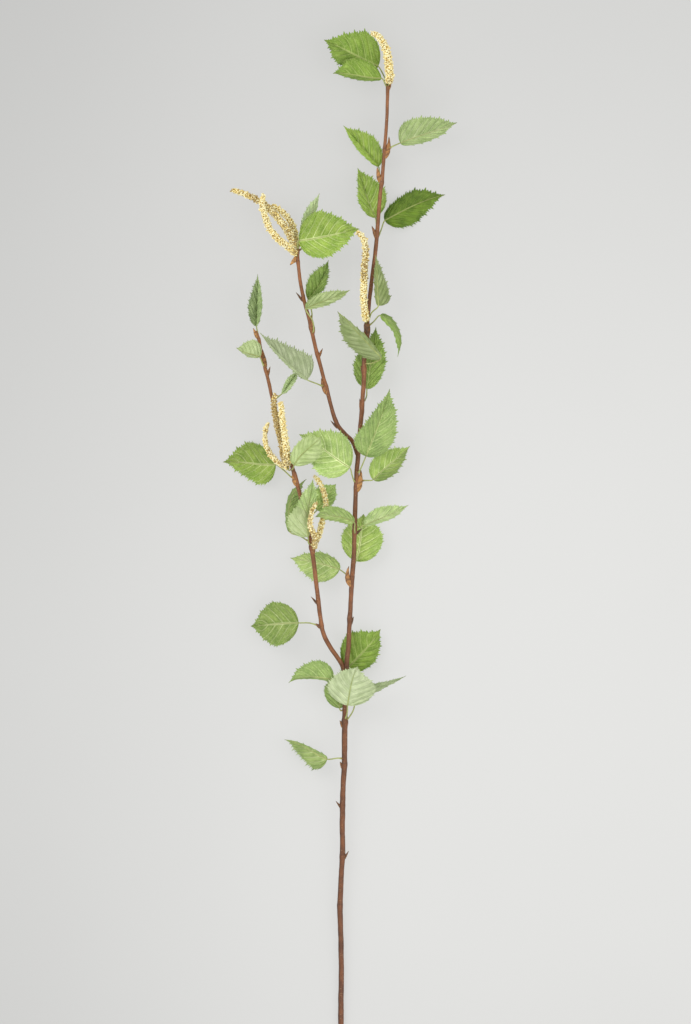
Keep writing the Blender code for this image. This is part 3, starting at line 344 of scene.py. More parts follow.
# Catkins: centre line from a point inside the wood to the hanging end, and the full radius
CATKINS = (
    ("catkin_01", (
        (43.2, 417.6, 24), (44.5, 427.5, 31), (43.9, 437.4, 34), (42.3, 447.3, 34), (39.6, 455.4, 35),
        (36, 461.7, 35), (31.5, 465.3, 35), (28.4, 466.2, 35),
    ), 3.5),
    ("catkin_02", (
        (-38, 265.5, 29), (-40.2, 268.2, 34.5), (-46.8, 274.5, 37), (-55.8, 281.7, 38),
        (-63, 290.7, 38), (-67.5, 302.4, 37), (-70.2, 313.2, 36), (-68.4, 321.3, 35),
    ), 2.9),
    ("catkin_03", (
        (-37.6, 270.4, 28.5), (-41.4, 274.9, 29), (-45.9, 286.2, 29), (-53.1, 297, 29),
        (-61.2, 306, 28), (-70.2, 314.1, 28), (-81, 319.9, 28), (-90, 323.6, 28), (-97.2, 325.4, 28),
    ), 2.9),
    ("catkin_04", (
        (-37.6, 271.8, 28.4), (-38.7, 277.7, 21.5), (-41, 288, 19), (-45.9, 299.7, 19),
        (-53.1, 306.9, 20), (-61.2, 312.3, 20),
    ), 2.9),
    ("catkin_05", (
        (24.3, 203.4, 26.5), (22.9, 212.4, 34), (22.1, 217.8, 34.5), (21.2, 226.8, 34),
        (21.6, 240.3, 34), (22.1, 253.8, 34), (22.9, 267.3, 35), (22.5, 276.3, 38), (20.2, 282.6, 41),
        (15.3, 288, 43),
    ), 3),
    ("catkin_06", (
        (-42.3, 72.9, 28.2), (-47.2, 75.6, 27), (-51.3, 77.4, 26), (-58.5, 82.8, 26), (-63.9, 90, 26),
        (-66.6, 96.3, 26), (-67.5, 103.5, 26), (-67, 109.8, 26), (-64.4, 116.1, 26),
    ), 2.3),
    ("catkin_07", (
        (-44.3, 78.8, 28), (-48.6, 80.5, 29.6), (-51.1, 86.4, 31.7), (-51.8, 95.4, 32.1),
        (-54.5, 105.3, 32.2), (-56.9, 115.2, 32), (-58.5, 124.2, 32), (-59.4, 133.2, 32),
        (-58.5, 142.2, 32),
    ), 2.7),
    ("catkin_08", (
        (-43.2, 77.4, 28.2), (-45.9, 79.2, 33.2), (-47.8, 84.2, 36.6), (-48.1, 90, 37.5),
        (-48.7, 97.2, 37.7), (-49.7, 105.3, 38), (-50.9, 112.5, 38), (-51.8, 119.7, 38),
        (-52.7, 127.8, 38), (-52.6, 135, 38),
    ), 2.9),
    ("catkin_09", (
        (-25.6, 4, 27), (-21.8, 9, 28.5), (-18.9, 15.3, 28.5), (-16.7, 24.3, 26.5), (-12.6, 42.3, 26),
        (-13.5, 49.5, 26.5), (-16.2, 58.5, 27), (-19.8, 64.8, 27), (-23.4, 68.4, 27),
    ), 2.4),
    ("catkin_10", (
        (-25.6, 2.2, 27), (-22.7, 5.4, 34), (-22.2, 11.7, 40), (-24.3, 18, 43), (-27, 25.2, 44),
        (-26.1, 32.4, 44), (-24.3, 38.7, 44), (-21.6, 44.1, 44),
    ), 2.3),
)

# Stalks that leave the stem more directly
STRAIGHTER = {
    "leaf_27": ((-27, 207, 31), (-25.2, 211.5, 29.2), (-26.2, 219.6, 27.8)),
}

# Painted light and shade: how much lighter or darker than its tone a half of a leaf is painted, and how
# full or grey its green
LIGHTS = {"deep": 0.7, "shaded": 0.85, "even": 1.0, "lit": 1.15, "bright": 1.35, "glowing": 1.6}
GREENS = {"dusty": 0.75, "soft": 0.9, "plain": 1.0, "fresh": 1.08}

# Each leaf's painted light and shade on its right half and its left half, seen from its base, its green
# and, where it is another than in LEAVES, its tone
LEAF_LOOKS = {
    "01": "even shaded fresh", "02": "even even fresh", "03": "shaded lit fresh",
    "04": "even shaded soft", "05": "shaded even fresh", "06": "lit even fresh", "07": "deep deep fresh",
    "08": "bright even plain", "09": "shaded deep plain", "10": "bright even plain", "11": "lit lit soft",
    "12": "shaded lit plain", "13": "lit bright soft", "14": "lit lit plain", "15": "lit lit plain",
    "16": "lit lit soft", "17": "shaded even plain", "18": "lit lit soft", "19": "even even fresh",
    "20": "lit lit soft", "21": "lit lit dusty", "22": "lit lit soft mid", "23": "shaded shaded dusty",
    "24": "even shaded soft", "25": "even shaded fresh", "26": "bright bright dusty pale",
    "27": "shaded even plain mid", "28": "lit even plain", "29": "shaded lit dusty",
    "30": "bright even dusty mid", "31": "lit lit soft", "32": "lit bright dusty pale",
    "33": "deep shaded fresh", "34": "lit even soft mid", "35": "lit lit soft",
    "36": "glowing glowing soft mid", "37": "deep deep plain",
}

# Leaves whose margin is cut deeper than the others
TOOTHED = {
    "02": 1.5, "05": 1.2, "07": 1.3, "12": 1.2, "21": 1.5, "24": 1.7, "27": 1.6, "29": 1.3, "30": 1.3,
}

# Leaves that turn over towards the tip, and the row of the blade where they do
TURNED_AT = {"35": 8.0}

# How ripe each catkin is, then where along it a riper stretch starts and ends and by how much
CATKIN_RIPENESS = (
    (0.0, 0.0, 0.1, 0.2), (0.08, 0.0, 0.15, 0.3), (0.35, 0.72, 0.82, 0.4), (0.08, 0.1, 0.6, 0.15),
    (0.05, 0.45, 0.8, 0.5), (0.12, 0.0, 0.1, 0.3), (0.75, 0.06, 0.9, 0.25), (0.0, 0.0, 0.22, 0.5),
    (0.1, 0.0, 0.15, 0.2), (0.45, 0.0, 0.3, 0.2),
)


# Colours and small sums
def linear(rgb):
    """A colour given as 0 to 255 in daylight as the linear numbers that a shader takes."""
    parts = [c / 255 for c in rgb]
    return tuple(c / 12.92 if c <= 0.04045 else ((c + 0.055) / 1.055) ** 2.4 for c in parts)


def unit(v):
    return v / np.maximum(np.linalg.norm(v, axis=-1, keepdims=True), 1e-9)


def eased(x):
    x = np.clip(x, 0.0, 1.0)
    return x * x * (3 - 2 * x)


def through(points, want):
    """A smooth line through the points, at `want` lengths along it or as that many even steps."""
    pts = np.array(points, float)
    pts = np.vstack([2 * pts[0] - pts[1], pts, 2 * pts[-1] - pts[-2]])
    out = []
    for a, b, c, d in zip(pts[:-3], pts[1:-2], pts[2:-1], pts[3:]):
        t1 = np.linalg.norm((b - a)[:3]) ** 0.5 + 1e-6
        t2 = t1 + np.linalg.norm((c - b)[:3]) ** 0.5 + 1e-6
        t3 = t2 + np.linalg.norm((d - c)[:3]) ** 0.5 + 1e-6
        t = np.linspace(t1, t2, 16, endpoint=False)[:, None]
        a1 = (t1 - t) / t1 * a + t / t1 * b
        a2 = (t2 - t) / (t2 - t1) * b + (t - t1) / (t2 - t1) * c
        a3 = (t3 - t) / (t3 - t2) * c + (t - t2) / (t3 - t2) * d
        b1 = (t2 - t) / t2 * a1 + t / t2 * a2
        b2 = (t3 - t) / (t3 - t1) * a2 + (t - t1) / (t3 - t1) * a3
        out.append((t2 - t) / (t2 - t1) * b1 + (t - t1) / (t2 - t1) * b2)
    out = np.vstack([*out, pts[-2]])
    run = np.concatenate([[0], np.cumsum(np.linalg.norm(np.diff(out[:, :3], axis=0), axis=1))])
    if not np.ndim(want):
        want = np.linspace(0, run[-1], want)
    return np.stack([np.interp(want, run, out[:, k]) for k in range(out.shape[1])], 1), run[-1]


def carried(points, side):
    """Directions, sides and ups that turn as little as possible along the points."""
    ahead = unit(np.gradient(points, axis=0))
    sides = []
    for direction in ahead:
        side = unit(side - direction * np.dot(side, direction))
        sides.append(side)
    sides = np.array(sides)
    return ahead, sides, np.cross(ahead, sides)


def rolling(seed, places, pitch):
    """Soft chance values between -1 and 1 at the places, changing over about one pitch."""
    values = np.random.default_rng(seed).uniform(-1, 1, 4096)
    x = np.asarray(places) / pitch + 7.3
    low = np.floor(x).astype(int)
    share = eased(x - low)
    return values[low % 4096] * (1 - share) + values[(low + 1) % 4096] * share


# Mesh pieces
def ring_faces(count, sides, closed=True):
    """Quads between `count` rings of `sides` points each."""
    i, j = np.meshgrid(np.arange(count - 1), np.arange(sides if closed else sides - 1), indexing="ij")
    k = (j + 1) % sides
    low, high = i * sides, (i + 1) * sides
    return np.stack([low + j, low + k, high + k, high + j], -1).reshape(-1, 4)


def tube(line, radii, sides, relief=None):
    """A round rod along the line with closed ends: points, faces, place along and angle of each point."""
    _, across, up = carried(line, np.array([1.0, 0.0, 0.0]))
    angles = np.arange(sides) * 2 * math.pi / sides
    radius = np.repeat(np.asarray(radii, float)[:, None], sides, 1)
    if relief is not None:
        radius = radius + relief
    rings = line[:, None] + radius[..., None] * (np.cos(angles)[:, None] * across[:, None]
                                                 + np.sin(angles)[:, None] * up[:, None])
    count = len(line)
    faces = ring_faces(count, sides).tolist()
    faces.append(list(range(sides))[::-1])
    faces.append([(count - 1) * sides + k for k in range(sides)])
    run = np.concatenate([[0], np.cumsum(np.linalg.norm(np.diff(line, axis=0), axis=1))])
    return rings.reshape(-1, 3), faces, np.repeat(run, sides), np.tile(angles, count)


class Piece:
    """Gathers the shapes of one physical piece with the values its materials read."""

    def __init__(self, name, numbers=(), vectors=()):
        self.name = name
        self.points, self.faces, self.slots = [], [], []
        self.numbers = {key: [] for key in numbers}
        self.vectors = {key: [] for key in vectors}
        self.count = 0

    def add(self, points, faces, material=0, **values):
        size = len(points)
        self.points.append(np.asarray(points, float))
        self.faces += [[int(i) + self.count for i in face] for face in faces]
        self.slots += [material] * len(faces) if np.ndim(material) == 0 else list(material)
        for key, store in self.numbers.items():
            store.append(np.broadcast_to(np.asarray(values.get(key, 0.0), float), (size,)))
        for key, store in self.vectors.items():
            store.append(np.broadcast_to(np.asarray(values.get(key, (0, 0, 0)), float), (size, 3)))
        self.count += size

    def finish(self, materials, node, sharp=60.0):
        mesh = bpy.data.meshes.new(self.name)
        mesh.from_pydata((np.vstack(self.points) * MM).tolist(), [], self.faces)
        mesh.polygons.foreach_set("material_index", np.array(self.slots, np.int32))
        for key, store in self.numbers.items():
            values = mesh.attributes.new(key, "FLOAT", "POINT").data
            values.foreach_set("value", np.concatenate(store))
        for key, store in self.vectors.items():
            values = mesh.attributes.new(key, "FLOAT_VECTOR", "POINT").data
            values.foreach_set("vector", np.vstack(store).ravel())
        for material in materials:
            mesh.materials.append(material)
        mesh.validate()
        mesh.shade_smooth()
        mesh.set_sharp_from_angle(angle=math.radians(sharp))
        obj = bpy.data.objects.new(self.name, mesh)
        bpy.context.scene.collection.objects.link(obj)
        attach(obj, "root")
        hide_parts(node)
        return obj


def bark_surface():
    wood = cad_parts["branch_wood"].data
    return BVHTree.FromPolygons([v.co for v in wood.vertices], [p.vertices for p in wood.polygons])


def seat(bark, aim, outside):
    """Where a stalk meets the bark, and the direction straight out of it."""
    aim, outside = np.array(aim, float), np.array(outside, float)
    toward = unit(aim - outside)
    start = Vector((outside * MM).tolist())
    hit, normal, _, _ = bark.ray_cast(start, Vector(toward.tolist()))
    if hit is None:
        hit, normal, _, _ = bark.find_nearest(start)
    return np.array(hit) / MM, unit(np.array(normal) - 0.001 * toward)


# Shader helpers
def put(tree, value, socket):
    """Joins an output to an input, or sets the input itself."""
    if isinstance(value, bpy.types.NodeSocket):
        tree.links.new(value, socket)
    else:
        socket.default_value = value


def sums(tree, operation, *values, clamp=False):
    node = tree.nodes.new("ShaderNodeMath")
    node.operation = operation
    node.use_clamp = clamp
    for value, socket in zip(values, node.inputs):
        put(tree, value, socket)
    return node.outputs[0]


def spread(tree, value, low, high, to_low=0.0, to_high=1.0, soft=True):
    """The value from low to high laid out from to_low to to_high."""
    node = tree.nodes.new("ShaderNodeMapRange")
    node.interpolation_type = "SMOOTHSTEP" if soft else "LINEAR"
    for key, number in (("Value", value), ("From Min", low), ("From Max", high),
                        ("To Min", to_low), ("To Max", to_high)):
        put(tree, number, node.inputs[key])
    return node.outputs["Result"]


def blended(tree, share, first, second):
    node = tree.nodes.new("ShaderNodeMix")
    node.data_type = "RGBA"
    for value, number in ((share, 0), (first, 6), (second, 7)):
        if isinstance(value, tuple) and len(value) == 3:
            value = (*value, 1.0)
        put(tree, value, node.inputs[number])
    return node.outputs[2]


def attribute(tree, name, output="Fac"):
    node = tree.nodes.new("ShaderNodeAttribute")
    node.attribute_name = name
    return node.outputs[output]


def parts_of(tree, vector):
    node = tree.nodes.new("ShaderNodeSeparateXYZ")
    put(tree, vector, node.inputs[0])
    return node.outputs


def vector_of(tree, x, y, z):
    node = tree.nodes.new("ShaderNodeCombineXYZ")
    for value, socket in zip((x, y, z), node.inputs):
        put(tree, value, socket)
    return node.outputs[0]


def noise(tree, vector, scale, detail=3.0, roughness=0.5):
    node = tree.nodes.new("ShaderNodeTexNoise")
    for key, value in (("Vector", vector), ("Scale", scale), ("Detail", detail), ("Roughness", roughness)):
        put(tree, value, node.inputs[key])
    return node.outputs["Fac"]


def object_place(tree):
    return tree.nodes.new("ShaderNodeTexCoord").outputs["Object"]


def new_group(name, inputs, outputs):
    """An empty shader node group with named sockets: the tree, its inputs and its output node."""
    tree = bpy.data.node_groups.new(name, "ShaderNodeTree")
    for label, kind, value in inputs:
        socket = tree.interface.new_socket(label, in_out="INPUT", socket_type="NodeSocket" + kind)
        if kind == "Float":
            socket.default_value = value
    for label in outputs:
        tree.interface.new_socket(label, in_out="OUTPUT", socket_type="NodeSocketFloat")
    start = tree.nodes.new("NodeGroupInput")
    end = tree.nodes.new("NodeGroupOutput")
    return tree, start.outputs, end.inputs


def use_group(tree, group, **values):
    """Places a group in a material; the keywords are its input names with _ for a space."""
    node = tree.nodes.new("ShaderNodeGroup")
    node.node_tree = group
    for key, value in values.items():
        put(tree, value, node.inputs[key.replace("_", " ")])
    return node.outputs


def mottle_group():
    """Soft patches with a fine grain in them, for leaves, bark, catkins and stalks."""
    found = bpy.data.node_groups.get("Mottle")
    if found:
        return found
    tree, given, result = new_group(
        "Mottle",
        (("Vector", "Vector", None), ("Patch Size", "Float", 8.0), ("Grain Size", "Float", 0.6),
         ("Grain", "Float", 0.35)),
        ("Patches", "Grain", "Both"),
    )
    patch = noise(tree, given["Vector"], sums(tree, "DIVIDE", 1000.0, given["Patch Size"]), 3.0, 0.55)
    grain = noise(tree, given["Vector"], sums(tree, "DIVIDE", 1000.0, given["Grain Size"]), 2.0, 0.6)
    patch = spread(tree, patch, 0.3, 0.7)
    grain = spread(tree, grain, 0.25, 0.75, soft=False)
    lean = sums(tree, "MULTIPLY", sums(tree, "SUBTRACT", grain, 0.5), given["Grain"])
    put(tree, patch, result["Patches"])
    put(tree, grain, result["Grain"])
    put(tree, sums(tree, "ADD", patch, lean, clamp=True), result["Both"])
    return tree


def fibre_group():
    """Streaks that run along a stem, for bark and stalks."""
    found = bpy.data.node_groups.get("Fibres")
    if found:
        return found
    tree, given, result = new_group(
        "Fibres",
        (("Round", "Vector", None), ("Width", "Float", 0.5), ("Stretch", "Float", 12.0)),
        ("Streaks", "Cracks"),
    )
    x, y, z = parts_of(tree, given["Round"])
    laid = vector_of(tree, x, y, sums(tree, "DIVIDE", z, given["Stretch"]))
    streak = noise(tree, laid, sums(tree, "DIVIDE", 1.0, given["Width"]), 4.0, 0.6)
    crack = noise(tree, laid, sums(tree, "DIVIDE", 2.3, given["Width"]), 2.0, 0.5)
    put(tree, spread(tree, streak, 0.3, 0.7, soft=False), result["Streaks"])
    put(tree, spread(tree, crack, 0.60, 0.72), result["Cracks"])
    return tree


def vein_group():
    """Veins of a blade from its two drawn coordinates: the course along it and the place across it."""
    found = bpy.data.node_groups.get("Blade veins")
    if found:
        return found
    tree, given, result = new_group(
        "Blade veins",
        (("Course", "Float", 0.0), ("Across", "Float", 0.0), ("Width", "Float", 0.2),
         ("Net Scale", "Float", 1.0)),
        ("Veins", "Midrib", "Net", "Streaks"),
    )
    beside = sums(tree, "ABSOLUTE", given["Across"])
    phase = sums(tree, "MULTIPLY", sums(tree, "SUBTRACT", given["Course"], 1.0), 0.5)
    gap = sums(tree, "MULTIPLY", sums(tree, "PINGPONG", phase, 0.5), 2.0)
    width = sums(tree, "MULTIPLY", given["Width"], spread(tree, beside, 0.0, 1.0, 1.25, 0.6, soft=False))
    vein = spread(tree, sums(tree, "DIVIDE", gap, width), 0.0, 1.0, 1.0, 0.0)
    vein = sums(tree, "MULTIPLY", vein, spread(tree, beside, 0.72, 1.0, 1.0, 0.25))
    midrib = spread(tree, beside, 0.02, 0.085, 1.0, 0.0)
    laid = vector_of(tree, sums(tree, "MULTIPLY", given["Course"], 1.7),
                     sums(tree, "MULTIPLY", given["Across"], 8.0), 0.0)
    cells = tree.nodes.new("ShaderNodeTexVoronoi")
    cells.feature = "DISTANCE_TO_EDGE"
    put(tree, laid, cells.inputs["Vector"])
    put(tree, given["Net Scale"], cells.inputs["Scale"])
    net = spread(tree, cells.outputs["Distance"], 0.0, 0.16, 1.0, 0.0)
    drawn_out = vector_of(tree, sums(tree, "MULTIPLY", given["Course"], 2.6),
                          sums(tree, "MULTIPLY", given["Across"], 1.6), 0.0)
    fine = vector_of(tree, sums(tree, "MULTIPLY", given["Course"], 8.0),
                     sums(tree, "MULTIPLY", given["Across"], 2.6), 4.0)
    lines = sums(tree, "MULTIPLY", noise(tree, fine, 1.0, detail=1.0), 0.45)
    bands = sums(tree, "MULTIPLY", noise(tree, drawn_out, 1.0, detail=2.0), 0.55)
    put(tree, sums(tree, "ADD", bands, lines), result["Streaks"])
    put(tree, vein, result["Veins"])
    put(tree, midrib, result["Midrib"])
    put(tree, net, result["Net"])
    return tree


def new_material(name):
    material = bpy.data.materials.new(name)
    material.use_nodes = True
    tree = material.node_tree
    return material, tree, tree.nodes["Principled BSDF"]


def bump(tree, shader, height, distance, strength=1.0):
    node = tree.nodes.new("ShaderNodeBump")
    node.inputs["Distance"].default_value = distance
    node.inputs["Strength"].default_value = strength
    put(tree, height, node.inputs["Height"])
    tree.links.new(node.outputs["Normal"], shader.inputs["Normal"])


def toned(tree, colour, amount, fullness=1.0):
    """The colour made darker or lighter by an amount that changes over the surface."""
    node = tree.nodes.new("ShaderNodeHueSaturation")
    put(tree, colour, node.inputs["Color"])
    put(tree, fullness, node.inputs["Saturation"])
    put(tree, amount, node.inputs["Value"])
    return node.outputs["Color"]


# Materials
def blade_material(name, colours, vein_colour, vein_show, vein_height, roughness, vein_width):
    """One face of a leaf: patches of green, pale veins, a fine net between them and a satin surface."""
    material, tree, shader = new_material(name)
    place = object_place(tree)
    veined, across, course = parts_of(tree, attribute(tree, "blade", "Vector"))
    mottle = use_group(tree, mottle_group(), Vector=place, Patch_Size=9.0, Grain_Size=0.55, Grain=0.5)
    veins = use_group(tree, vein_group(), Course=veined, Across=across, Width=vein_width, Net_Scale=1.7)
    colour = blended(tree, mottle["Both"], linear(colours[0]), linear(colours[1]))
    edge = spread(tree, sums(tree, "ABSOLUTE", across), 0.55, 1.0, 0.0, 0.4)
    colour = blended(tree, edge, colour, linear(colours[1]))
    raised = sums(tree, "MAXIMUM", veins["Veins"], veins["Midrib"])
    clear = spread(tree, mottle["Patches"], 0.0, 1.0, vein_show, vein_show * 0.7)
    shown = sums(tree, "MULTIPLY", raised, clear)
    colour = blended(tree, shown, colour, linear(vein_colour))
    colour = blended(tree, sums(tree, "MULTIPLY", veins["Net"], 0.3), colour, linear(vein_colour))
    colour = toned(tree, colour, spread(tree, veins["Streaks"], 0.38, 0.62, 0.82, 1.18, soft=False))
    tip = spread(tree, course, 13.9, 15.0, 0.0, 0.35)
    colour = blended(tree, tip, colour, linear(TIP_BROWN))
    # Painted light and shade: the shade value makes each half of the blade lighter or darker
    colour = toned(tree, colour, attribute(tree, "shade"), attribute(tree, "vivid"))
    put(tree, colour, shader.inputs["Base Color"])
    put(tree, spread(tree, mottle["Both"], 0.0, 1.0, roughness, roughness + 0.14, soft=False),
        shader.inputs["Roughness"])
    shader.inputs["Specular IOR Level"].default_value = 0.25
    height = sums(tree, "MULTIPLY", raised, vein_height)
    height = sums(tree, "ADD", height, sums(tree, "MULTIPLY", veins["Net"], vein_height * 0.22))
    height = sums(tree, "ADD", height, sums(tree, "MULTIPLY", mottle["Grain"], 0.16))
    bump(tree, shader, height, 0.0003)
    return material


def stalk_material():
    material, tree, shader = new_material("stalk_green")
    place, around = object_place(tree), attribute(tree, "round", "Vector")
    fibres = use_group(tree, fibre_group(), Round=around, Width=0.5, Stretch=9.0)
    mottle = use_group(tree, mottle_group(), Vector=place, Patch_Size=6.0, Grain_Size=0.5, Grain=0.4)
    colour = blended(tree, mottle["Both"], linear(STALK_GREEN[0]), linear(STALK_GREEN[1]))
    colour = blended(tree, sums(tree, "MULTIPLY", fibres["Streaks"], 0.35), colour, linear(VEINS["mid"]))
    foot = spread(tree, attribute(tree, "foot"), 0.0, 1.0, 0.0, 0.8)
    colour = blended(tree, foot, colour, linear(STALK_FOOT))
    put(tree, colour, shader.inputs["Base Color"])
    put(tree, spread(tree, fibres["Streaks"], 0.0, 1.0, 0.42, 0.6, soft=False), shader.inputs["Roughness"])
    bump(tree, shader, fibres["Streaks"], 0.0001)
    return material


def bark_material(settings):
    """Smooth young birch bark: long fibres, fine cracks and short pale dashes lying across the stem."""
    material, tree, shader = new_material("birch_bark")
    place = object_place(tree)
    around = attribute(tree, "round", "Vector")
    fresh = attribute(tree, "fresh")
    fibres = use_group(tree, fibre_group(), Round=around, Width=0.8, Stretch=14.0)
    mottle = use_group(tree, mottle_group(), Vector=place, Patch_Size=11.0, Grain_Size=0.5, Grain=0.5)
    old, young = tuple(settings.bark_old), tuple(settings.bark_young)
    colour = blended(tree, spread(tree, fresh, 0.0, 1.0, soft=False), old, young)
    colour = blended(tree, sums(tree, "MULTIPLY", fibres["Streaks"], 0.45), colour, young)
    colour = blended(tree, sums(tree, "MULTIPLY", mottle["Both"], 0.45), colour, linear(BARK[2]))
    x, y, z = parts_of(tree, around)
    dashes = tree.nodes.new("ShaderNodeTexVoronoi")
    put(tree, vector_of(tree, x, y, sums(tree, "MULTIPLY", z, 2.6)), dashes.inputs["Vector"])
    dashes.inputs["Scale"].default_value = 0.42
    chance = parts_of(tree, dashes.outputs["Color"])[0]
    dash = spread(tree, dashes.outputs["Distance"], 0.16, 0.30, 1.0, 0.0)
    dash = sums(tree, "MULTIPLY", dash, spread(tree, chance, 0.62, 0.66))
    colour = blended(tree, sums(tree, "MULTIPLY", dash, 0.55), colour, linear(BARK_DASH))
    colour = blended(tree, sums(tree, "MULTIPLY", fibres["Cracks"], 0.5), colour, linear(BARK_CRACK))
    scar = attribute(tree, "scar")
    colour = blended(tree, spread(tree, scar, 0.35, 0.9, 0.0, 0.5), colour, linear(BARK_SCAR))
    # Painted shade and highlight: the left flank of each stem is painted darker and a lighter line is
    # painted along it a little right of its middle
    painted_left_shade = spread(tree, x, -2.3, -0.9, 0.5, 1.0)
    streak = spread(tree, sums(tree, "ABSOLUTE", sums(tree, "SUBTRACT", x, 0.55)), 0.1, 0.75, 1.16, 1.0)
    shade = sums(tree, "MULTIPLY", attribute(tree, "shade"), sums(tree, "MULTIPLY", painted_left_shade, streak))
    put(tree, toned(tree, colour, shade), shader.inputs["Base Color"])
    put(tree, spread(tree, mottle["Both"], 0.0, 1.0, 0.3, 0.5, soft=False), shader.inputs["Roughness"])
    height = sums(tree, "MULTIPLY", fibres["Streaks"], 0.5)
    height = sums(tree, "ADD", height, sums(tree, "MULTIPLY", dash, 0.9))
    height = sums(tree, "SUBTRACT", height, sums(tree, "MULTIPLY", fibres["Cracks"], 0.8))
    height = sums(tree, "ADD", height, sums(tree, "MULTIPLY", mottle["Grain"], 0.3))
    bump(tree, shader, height, 0.00018)
    return material


def bud_material():
    material, tree, shader = new_material("bud_scales")
    place, around = object_place(tree), attribute(tree, "round", "Vector")
    mottle = use_group(tree, mottle_group(), Vector=place, Patch_Size=3.0, Grain_Size=0.4, Grain=0.5)
    fibres = use_group(tree, fibre_group(), Round=around, Width=0.6, Stretch=5.0)
    ramp = tree.nodes.new("ShaderNodeValToRGB")
    stops = ramp.color_ramp.elements
    while len(stops) < len(BUD_COLOURS):
        stops.new(0.5)
    for number, (stop, rgb) in enumerate(zip(stops, BUD_COLOURS)):
        stop.position = number / (len(BUD_COLOURS) - 1)
        stop.color = (*linear(rgb), 1.0)
    patchy = sums(tree, "MULTIPLY", sums(tree, "SUBTRACT", mottle["Both"], 0.5), 0.25)
    ripe = sums(tree, "ADD", attribute(tree, "ripe"), patchy)
    put(tree, ripe, ramp.inputs["Fac"])
    colour = blended(tree, sums(tree, "MULTIPLY", fibres["Streaks"], 0.3), ramp.outputs["Color"],
                     linear(BUD_COLOURS[2]))
    colour = blended(tree, spread(tree, attribute(tree, "scar"), 0.3, 1.0, 0.0, 0.7), colour,
                     linear(BUD_COLOURS[0]))
    put(tree, colour, shader.inputs["Base Color"])
    put(tree, spread(tree, mottle["Both"], 0.0, 1.0, 0.34, 0.55, soft=False), shader.inputs["Roughness"])
    bump(tree, shader, sums(tree, "ADD", fibres["Streaks"], mottle["Grain"]), 0.00012)
    return material


def catkin_material(settings):
    """Crowded florets: cream tips on gold, partly a painted highlight, and painted shade where they close
    up between them.
    """
    material, tree, shader = new_material("catkin_florets")
    place = object_place(tree)
    mottle = use_group(tree, mottle_group(), Vector=place, Patch_Size=5.0, Grain_Size=0.35, Grain=0.6)
    crown, chance, ripe = parts_of(tree, attribute(tree, "floret", "Vector"))
    # Painted shade: each floret turns to the deep colour towards its foot, where the florets close up
    colour = blended(tree, spread(tree, crown, 0.05, 0.75), tuple(settings.deep), tuple(settings.gold))
    # Painted highlight, partly the florets' own cream: the upper parts of the florets turn cream
    lit = sums(tree, "MULTIPLY", spread(tree, crown, 0.3, 0.85), spread(tree, chance, 0.05, 0.6))
    colour = blended(tree, lit, colour, tuple(settings.cream))
    colour = blended(tree, sums(tree, "MULTIPLY", mottle["Both"], 0.22), colour, tuple(settings.gold))
    colour = blended(tree, spread(tree, ripe, 0.0, 1.0, 0.0, 0.8), colour, linear(RIPE_CATKIN))
    put(tree, colour, shader.inputs["Base Color"])
    put(tree, spread(tree, mottle["Both"], 0.0, 1.0, 0.5, 0.75, soft=False), shader.inputs["Roughness"])
    bump(tree, shader, sums(tree, "ADD", mottle["Grain"], mottle["Patches"]), 0.00012)
    return material


def floor_material(settings):
    material, tree, shader = new_material("studio_paper")
    place = object_place(tree)
    mottle = use_group(tree, mottle_group(), Vector=place, Patch_Size=420.0, Grain_Size=3.0, Grain=0.1)
    colour = tuple(settings.floor_colour)
    low = tuple(c * 0.985 for c in colour)
    colour = blended(tree, mottle["Both"], colour, low)
    x, y, _ = parts_of(tree, place)
    # Painted light: the floor's colour is lightest at LIGHTEST_Y, falls off away from it and is painted
    # dimmer towards the left
    far = sums(tree, "POWER", sums(tree, "ABSOLUTE", sums(tree, "SUBTRACT", y, LIGHTEST_Y)), 2.0)
    fall = sums(tree, "EXPONENT", sums(tree, "MULTIPLY", far, FALL_OFF))
    fall = sums(tree, "ADD", sums(tree, "MULTIPLY", fall, 1 - LIGHT_KEPT), LIGHT_KEPT)
    dimmer = spread(tree, x, DIM_FROM, DIM_TO, DIM_SHARE, 1.0)
    colour = toned(tree, colour, sums(tree, "MULTIPLY", fall, dimmer))
    # Painted light: the floor glows with its own light, a floor_glow share of its brightness, which keeps
    # the branch's shadows on it faint
    put(tree, toned(tree, colour, 1 - settings.floor_glow), shader.inputs["Base Color"])
    put(tree, colour, shader.inputs["Emission Color"])
    shader.inputs["Emission Strength"].default_value = settings.floor_glow
    put(tree, spread(tree, mottle["Grain"], 0.0, 1.0, 0.86, 0.92, soft=False), shader.inputs["Roughness"])
    shader.inputs["Specular IOR Level"].default_value = 0.2
    return material


